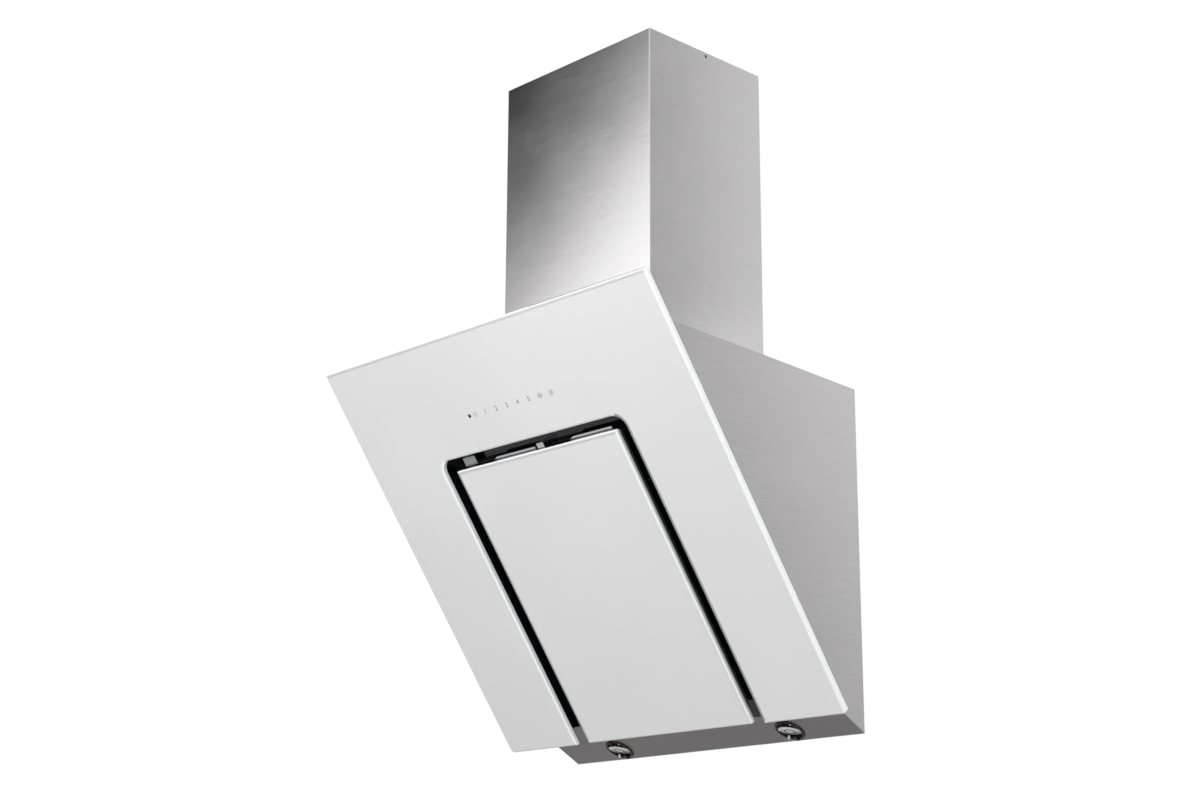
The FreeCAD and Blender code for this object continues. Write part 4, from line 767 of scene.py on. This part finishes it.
# The lens from its middle outwards: frosted button, black ring, frosted field, black rim and back.
FROSTED, BLACK = 0, 1
LENS = (
    (FROSTED, [(0, -0.0012), (0.0050, -0.0012), (0.0054, -0.0015)]),
    (BLACK, [(0.0054, -0.0015), (0.0062, -0.0016), (0.0069, -0.0014)]),
    (FROSTED, [(0.0069, -0.0014), (0.0074, -0.0010), (0.0150, -0.0010)]),
    (BLACK, [(0.0150, -0.0010), (0.0154, -0.0008), (0.0158, -0.0002), (0.0158, 0.0010), (0, 0.0010)]),
)

# The polished tabs, a short and a long one on opposite sides: their lower and upper corners.
TABS = (((-0.0012, 0.0140, -0.0026), (0.0012, 0.0190, -0.0004)),
        ((-0.0015, -0.0190, -0.0026), (0.0015, -0.0112, -0.0012)))
TAB_CHAMFER = 0.0003


class HOOD_OT_lamps(bpy.types.Operator):
    """Turn the two lamps: dark ring, black well, leaning frosted lens and polished tabs"""
    bl_idname = "hood.lamps"
    bl_label = "Lamps"

    def execute(self, context):
        for word, side in (("left", -1), ("right", 1)):
            matrix = lamp_matrix(side * LAMP_OUT, LAMP_ALONG)
            build = bmesh.new()
            lathe(build, BEZEL, matrix, ROUND)
            mesh = finish_mesh(f"bezel_{word}", build)
            bezel = link(f"bezel_{word}", mesh, ("lamp_rim",), "hood", ROUND_ANGLE)
            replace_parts(bezel, f"lamp_bezel_{word}")
            build = bmesh.new()
            lathe(build, WELL, matrix, WELL_ROUND)
            mesh = finish_mesh(f"well_{word}", build)
            link(f"well_{word}", mesh, ("well",), "hood", ROUND_ANGLE)
            leaning = matrix @ Matrix.Rotation(LAMP_LEAN, 4, "X")
            build = bmesh.new()
            for material, profile in LENS:
                lathe(build, profile, leaning, ROUND, material)
            bmesh.ops.remove_doubles(build, verts=build.verts, dist=1e-7)
            mesh = finish_mesh(f"lens_{word}", build)
            lens = link(f"lens_{word}", mesh, ("lamp_lens", "well"), "hood", ROUND_ANGLE)
            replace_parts(lens, f"lamp_lens_{word}")
            build = bmesh.new()
            for low, high in TABS:
                box_into(build, low, high, matrix @ Matrix.Rotation(TAB_TURN, 4, "Z"), TAB_CHAMFER)
            link(f"tabs_{word}", finish_mesh(f"tabs_{word}", build), ("striker",), "hood")
        return {"FINISHED"}


# The filter's expanded mesh: one opening, and the field that its two layers fill in the glass frame.
OPENING_WIDE, OPENING_TALL = 0.0125, 0.0070
STRAND_HALF, STRAND_GROW = 0.0004, 2.2
FIELD_LEFT, FIELD_REACH, FIELD_FOOT, FIELD_TALL = -0.1085, 0.1088, 0.0735, 0.288
COLUMNS = 18
LAYERS = ((0.0272, 0.0), (0.0305, 0.25))


class HOOD_OT_filter(bpy.types.Operator):
    """Weave the grease filter's expanded mesh inside its frame"""
    bl_idname = "hood.filter"
    bl_label = "Grease filter"

    def execute(self, context):
        strand = context.scene.hood.strand
        half_wide, half_tall = OPENING_WIDE / 2, OPENING_TALL / 2
        seed = bmesh.new()
        rows = []
        for level, grow in ((-STRAND_HALF, 0), (STRAND_HALF, 0), (STRAND_HALF, 1), (-STRAND_HALF, 1)):
            row = []
            for x, z in ((-half_wide, 0), (0, -half_tall), (half_wide, 0), (0, half_tall)):
                share = 1.0 - grow * strand * STRAND_GROW / (OPENING_WIDE if z == 0 else OPENING_TALL)
                row.append(seed.verts.new((x * share, level, z * share)))
            rows.append(row)
        join_rings(seed, rows + rows[:1])
        points = []
        for depth, shift in LAYERS:
            for row in range(int(FIELD_TALL / half_tall) - 1):
                for column in range(COLUMNS):
                    x = FIELD_LEFT + (column + (row % 2) / 2 + shift) * OPENING_WIDE
                    if abs(x) < FIELD_REACH:
                        points.append(GLASS @ Matrix.Translation((x, depth, FIELD_FOOT + row * half_tall)))
        mesh = scatter("filter_strands", points, finish_mesh("strand_seed", seed), "aluminium")
        strands = link("filter_strands", mesh, (), "hood", COPY_ANGLE)
        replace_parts(strands, "filter_mesh")
        return {"FINISHED"}


# The strikers' polished faces, in the glass frame: left and right end, upper and lower edge, front and back.
STRIKER_ENDS = ((-0.092, -0.004), (0.049, 0.133))
STRIKER_CREST, STRIKER_ROOT, STRIKER_RUN = 0.4064, 0.3995, 0.016
STRIKER_LEFT_IN, STRIKER_RIGHT_IN = 0.001, 0.0005
STRIKER_DEPTHS = (0.0120, 0.0124)

# The small lug at the upper left and the dark foot at the lower right: their corners in the glass frame.
LUG, LUG_CHAMFER = ((-0.1410, 0.0150, 0.4035), (-0.1180, 0.0160, 0.4150)), 0.0004
FOOT, FOOT_CHAMFER = ((0.1490, 0.0072, 0.0060), (0.1676, 0.0084, 0.0300)), 0.0003

# The rivets in the recess: on its floor as (x, z), and on its left wall as z.
FLOOR_RIVETS = ((0.1405, 0.328), (0.1350, 0.298), (0.1375, 0.258), (0.1335, 0.119), (0.1335, 0.043))
WALL_RIVETS = (0.351, 0.088)
RECESS_FLOOR, RECESS_WALL, WALL_RIVET_DEPTH = 0.0238, -0.1715, 0.0135
RIVET = [(0, -0.0012), (0.0008, -0.0011), (0.0015, -0.0006), (0.0017, 0.0)]


class HOOD_OT_recess(bpy.types.Operator):
    """Polish what shows in the recess: the strikers' faces, a folded lug, rivets and a dark foot"""
    bl_idname = "hood.recess"
    bl_label = "Recess"

    def execute(self, context):
        build = bmesh.new()
        for left, right in STRIKER_ENDS:
            start, end = left + STRIKER_LEFT_IN, right - STRIKER_RIGHT_IN
            outline = [(start, STRIKER_ROOT), (end, STRIKER_ROOT), (end, STRIKER_CREST),
                       (left + STRIKER_RUN, STRIKER_CREST)]
            rows = [[build.verts.new(GLASS @ Vector((x, depth, z))) for x, z in outline]
                    for depth in STRIKER_DEPTHS]
            build.faces.new(rows[0])
            build.faces.new(rows[1])
            join_rings(build, rows)
        link("striker_faces", finish_mesh("striker_faces", build), ("striker",), "centre_panel")
        build = bmesh.new()
        box_into(build, *LUG, GLASS, LUG_CHAMFER)
        link("recess_lug", finish_mesh("recess_lug", build), ("zinc",), "hood")
        build = bmesh.new()
        box_into(build, *FOOT, GLASS, FOOT_CHAMFER)
        link("recess_foot", finish_mesh("recess_foot", build), ("foot",), "hood")
        seed = bmesh.new()
        lathe(seed, RIVET, Matrix(), RIVET_ROUND)
        forwards = Matrix.Rotation(-math.pi / 2, 4, "X")
        sideways = Matrix.Rotation(math.pi / 2, 4, "Y")
        points = [GLASS @ Matrix.Translation((x, RECESS_FLOOR, z)) @ forwards for x, z in FLOOR_RIVETS]
        points += [GLASS @ Matrix.Translation((RECESS_WALL, WALL_RIVET_DEPTH, z)) @ sideways
                   for z in WALL_RIVETS]
        mesh = scatter("recess_rivets", points, finish_mesh("rivet_seed", seed), "rivet")
        link("recess_rivets", mesh, (), "hood", COPY_ANGLE)
        return {"FINISHED"}


# A screw's domed head with its sunk middle, as (radius, height).
SCREW = [(0, 0.0006), (0.0010, 0.0007), (0.0011, 0.0016), (0.0022, 0.0014), (0.0031, 0.0006), (0.0032, 0.0)]

# Where the screws sit: round the outlet's flange, along the top's rear edge, on the control box's lid
# and on the chimney's feet.
FLANGE_SCREWS, FLANGE_CIRCLE, FLANGE_MIDDLE, FLANGE_FACE = 6, 0.0845, -0.1432, 0.002
EDGE_SCREWS, EDGE_ROW = (-0.246, -0.08, 0.06, 0.246), -0.012
LID_SCREWS_X, LID_SCREWS_Z, LID_FACE = (-0.235, -0.125), (-0.210, -0.120), -0.043
FOOT_SCREWS_OUT, FOOT_SCREWS_ALONG, FOOT_FACE = 0.1255, (-0.123, -0.163), 0.0015


class HOOD_OT_screws(bpy.types.Operator):
    """Set small domed screws where sheets and housings are fixed"""
    bl_idname = "hood.screws"
    bl_label = "Screws"

    def execute(self, context):
        seed = bmesh.new()
        lathe(seed, SCREW, Matrix(), SCREW_ROUND)
        points = []
        for step in range(FLANGE_SCREWS):
            angle = 2 * math.pi / FLANGE_SCREWS * (step + 0.5)
            x, y = FLANGE_CIRCLE * math.cos(angle), FLANGE_CIRCLE * math.sin(angle)
            points.append(TOP @ Matrix.Translation((x, FLANGE_MIDDLE + y, FLANGE_FACE)))
        for x in EDGE_SCREWS:
            points.append(TOP @ Matrix.Translation((x, EDGE_ROW, 0)))
        forwards = Matrix.Rotation(math.pi / 2, 4, "X")
        for x in LID_SCREWS_X:
            for z in LID_SCREWS_Z:
                points.append(Matrix.Translation((x, LID_FACE, z)) @ forwards)
        for side in (-1, 1):
            for y in FOOT_SCREWS_ALONG:
                points.append(TOP @ Matrix.Translation((side * FOOT_SCREWS_OUT, y, FOOT_FACE)))
        mesh = scatter("sheet_screws", points, finish_mesh("screw_seed", seed), "polished")
        link("sheet_screws", mesh, (), "hood", COPY_ANGLE)
        return {"FINISHED"}


# ---------------------------------------------------------------- stage


def area_light(name, spot, target, size, power):
    """A soft rectangular lamp at a spot, aimed at a target, that no reflection shows."""
    lamp = bpy.data.lights.new(name, "AREA")
    lamp.shape = "RECTANGLE"
    lamp.size, lamp.size_y = size
    lamp.energy = power
    holder = bpy.data.objects.new(name, lamp)
    bpy.context.scene.collection.objects.link(holder)
    holder.visible_glossy = False
    aim = Vector(target) - Vector(spot)
    holder.matrix_world = Matrix.Translation(spot) @ aim.to_track_quat("-Z", "Y").to_matrix().to_4x4()


def card(name, start, end, heights, shades, across=(1.0, 0.0, 0.0), stops=(0.0, 1.0)):
    """A glowing upright card beside the set that only reflections see, from start to end as (x, y).

    Its brightness goes through shades at the stops, measured along a direction in metres."""
    low, high = heights
    mesh = bpy.data.meshes.new(name)
    mesh.from_pydata([(*start, low), (*end, low), (*end, high), (*start, high)], [], [(0, 1, 2, 3)])
    holder = bpy.data.objects.new(name, mesh)
    bpy.context.scene.collection.objects.link(holder)
    material = bpy.data.materials.new(name)
    material.use_nodes = True
    tree = material.node_tree
    tree.nodes.clear()
    place = Wire(tree, add_node(tree, "ShaderNodeTexCoord").outputs["Object"])
    reach = add_node(tree, "ShaderNodeVectorMath", {"operation": "DOT_PRODUCT"}, {0: place, 1: across})
    along = Wire(tree, reach.outputs["Value"])
    strength = shades[0]
    for low_stop, high_stop, shade, next_shade in zip(stops, stops[1:], shades, shades[1:]):
        strength = along.ramp(low_stop, high_stop, 0.0, next_shade - shade) + strength
    glow = add_node(tree, "ShaderNodeEmission", None, {"Strength": strength})
    add_node(tree, "ShaderNodeOutputMaterial", None, {"Surface": Wire(tree, glow.outputs[0])})
    mesh.materials.append(material)
    holder.visible_camera = False
    holder.visible_diffuse = False
    holder.visible_shadow = False
    holder.visible_transmission = False


def set_background(scene):
    """White for the camera and in reflections, and a grey light from all sides on the rest."""
    scene.world = bpy.data.worlds.new("studio")
    scene.world.use_nodes = True
    tree = scene.world.node_tree
    path = add_node(tree, "ShaderNodeLightPath")
    camera, glossy, clear = (Wire(tree, path.outputs[f"Is {word} Ray"])
                             for word in ("Camera", "Glossy", "Transmission"))
    seen = (camera + glossy + clear).clamped()
    feed(tree, tree.nodes["Background"].inputs["Color"], seen.blend((0.50, 0.50, 0.50), (1.0, 1.0, 1.0)))


def set_floor(scene):
    """A wide pale floor well below the hood."""
    reach, depth = 30, -1.7
    mesh = bpy.data.meshes.new("floor")
    mesh.from_pydata([(-reach, -reach, depth), (reach, -reach, depth), (reach, reach, depth),
                      (-reach, reach, depth)], [], [(0, 1, 2, 3)])
    floor = bpy.data.objects.new("floor", mesh)
    scene.collection.objects.link(floor)
    pale = bpy.data.materials.new("pale_floor")
    pale.use_nodes = True
    shader = pale.node_tree.nodes["Principled BSDF"]
    shader.inputs["Roughness"].default_value = 0.9
    shader.inputs["Base Color"].default_value = (0.82, 0.82, 0.82, 1)
    mesh.materials.append(pale)


def set_lights(factor):
    """Three soft lamps and the cards that the steel mirrors."""
    area_light("front_soft", (0.3, -1.9, 0.1), (0.10, -0.4, 0.05), (1.2, 0.8), 15.5 * factor)
    area_light("edge_light", (2.6, -0.35, -0.1), (0, -0.3, -0.1), (0.8, 0.8), 14 * factor)
    area_light("top_soft", (0.6, -1.4, 2.6), (0, -0.2, 0), (2.0, 2.0), 16 * factor)
    # What the chimney's front mirrors: bright low on the right, dark high on the left.
    card("sky_card", (-9, -1.83), (-0.2, -1.83), (0.2, 7), (2.30, 2.1, 0.80, 0.20, 0.0),
         (-0.669, 0.0, 0.743), (1.76, 1.88, 2.04, 2.22, 2.40))
    # What the steel sides mirror: darker low and towards the glass.
    card("body_card", (0.2, 1.5), (3.6, 1.5), (-2.5, 0.85), (0.62, 0.92, 1.28, 1.32),
         (-0.874, 0.0, 0.486), (-1.40, -1.30, -1.20, -1.08))
    card("flue_card", (0.2, 1.5), (3.6, 1.5), (0.85, 4.5), (1.22, 1.16, 1.00, 0.78, 0.66),
         (1.0, 0.0, 0.0), (1.50, 1.62, 1.72, 1.82, 1.95))
    # What the fold between the chimney's front and side mirrors.
    card("camera_card", (0.9, -2.6), (2.6, -0.9), (-1.4, 0.3), (0.05, 0.05))


# The camera, as fitted to the hood's corners: pixels of the photograph, then metres and radians.
PICTURE_WIDE, PICTURE_TALL = 1200, 800
FOCAL_PIXELS = 1991.533
CENTRE_X, CENTRE_Y = 747.5559, 441.1688
YAW, PITCH, ROLL = 0.742527, 0.251327, 0.0157166
CAMERA_SPOT = (1.8018354, -1.8863116, -0.6507673)
SENSOR = 36.0


def set_camera(scene):
    """The photograph's camera, which looks up at the hood from the front right."""
    camera = bpy.data.cameras.new("camera")
    camera.sensor_width = SENSOR
    camera.lens = FOCAL_PIXELS * SENSOR / PICTURE_WIDE
    camera.shift_x = -(CENTRE_X - PICTURE_WIDE / 2) / PICTURE_WIDE
    camera.shift_y = (CENTRE_Y - PICTURE_TALL / 2) / PICTURE_WIDE
    camera.clip_start, camera.clip_end = 0.05, 100
    holder = bpy.data.objects.new("camera", camera)
    scene.collection.objects.link(holder)
    turn = Matrix.Rotation(YAW, 3, "Z") @ Matrix.Rotation(PITCH, 3, "X") @ Matrix.Rotation(ROLL, 3, "Y")
    right, ahead, up = turn.col
    axes = Matrix((right, up, -ahead)).transposed()
    holder.matrix_world = Matrix.Translation(CAMERA_SPOT) @ axes.to_4x4()
    scene.camera = holder


class HOOD_OT_stage(bpy.types.Operator):
    """Set the floor, the background, the lamps and the camera"""
    bl_idname = "hood.stage"
    bl_label = "Stage"

    def execute(self, context):
        scene = context.scene
        set_background(scene)
        set_floor(scene)
        set_lights(scene.hood.light)
        set_camera(scene)
        scene.view_settings.view_transform = "Standard"
        return {"FINISHED"}


# ---------------------------------------------------------------- add-on

STEPS = (HOOD_OT_finishes, HOOD_OT_panes, HOOD_OT_folds, HOOD_OT_keys, HOOD_OT_lamps, HOOD_OT_filter,
         HOOD_OT_recess, HOOD_OT_screws, HOOD_OT_stage)


class HOOD_PT_panel(bpy.types.Panel):
    """The sidebar panel with every step and its settings"""
    bl_idname = "HOOD_PT_panel"
    bl_label = "Range hood"
    bl_space_type = "VIEW_3D"
    bl_region_type = "UI"
    bl_category = "Hood"

    def draw(self, context):
        for name in HoodSettings.__annotations__:
            self.layout.prop(context.scene.hood, name)
        for operator in STEPS:
            self.layout.operator(operator.bl_idname)


CLASSES = (HoodSettings, *STEPS, HOOD_PT_panel)


def register():
    for item in CLASSES:
        bpy.utils.register_class(item)
    bpy.types.Scene.hood = PointerProperty(type=HoodSettings)


def unregister():
    del bpy.types.Scene.hood
    for item in reversed(CLASSES):
        bpy.utils.unregister_class(item)


def main():
    register()
    bpy.ops.hood.finishes()
    bpy.ops.hood.panes()
    bpy.ops.hood.folds()
    bpy.ops.hood.keys()
    bpy.ops.hood.lamps()
    bpy.ops.hood.filter()
    bpy.ops.hood.recess()
    bpy.ops.hood.screws()
    bpy.ops.hood.stage()


if __name__ == "__main__":
    main()
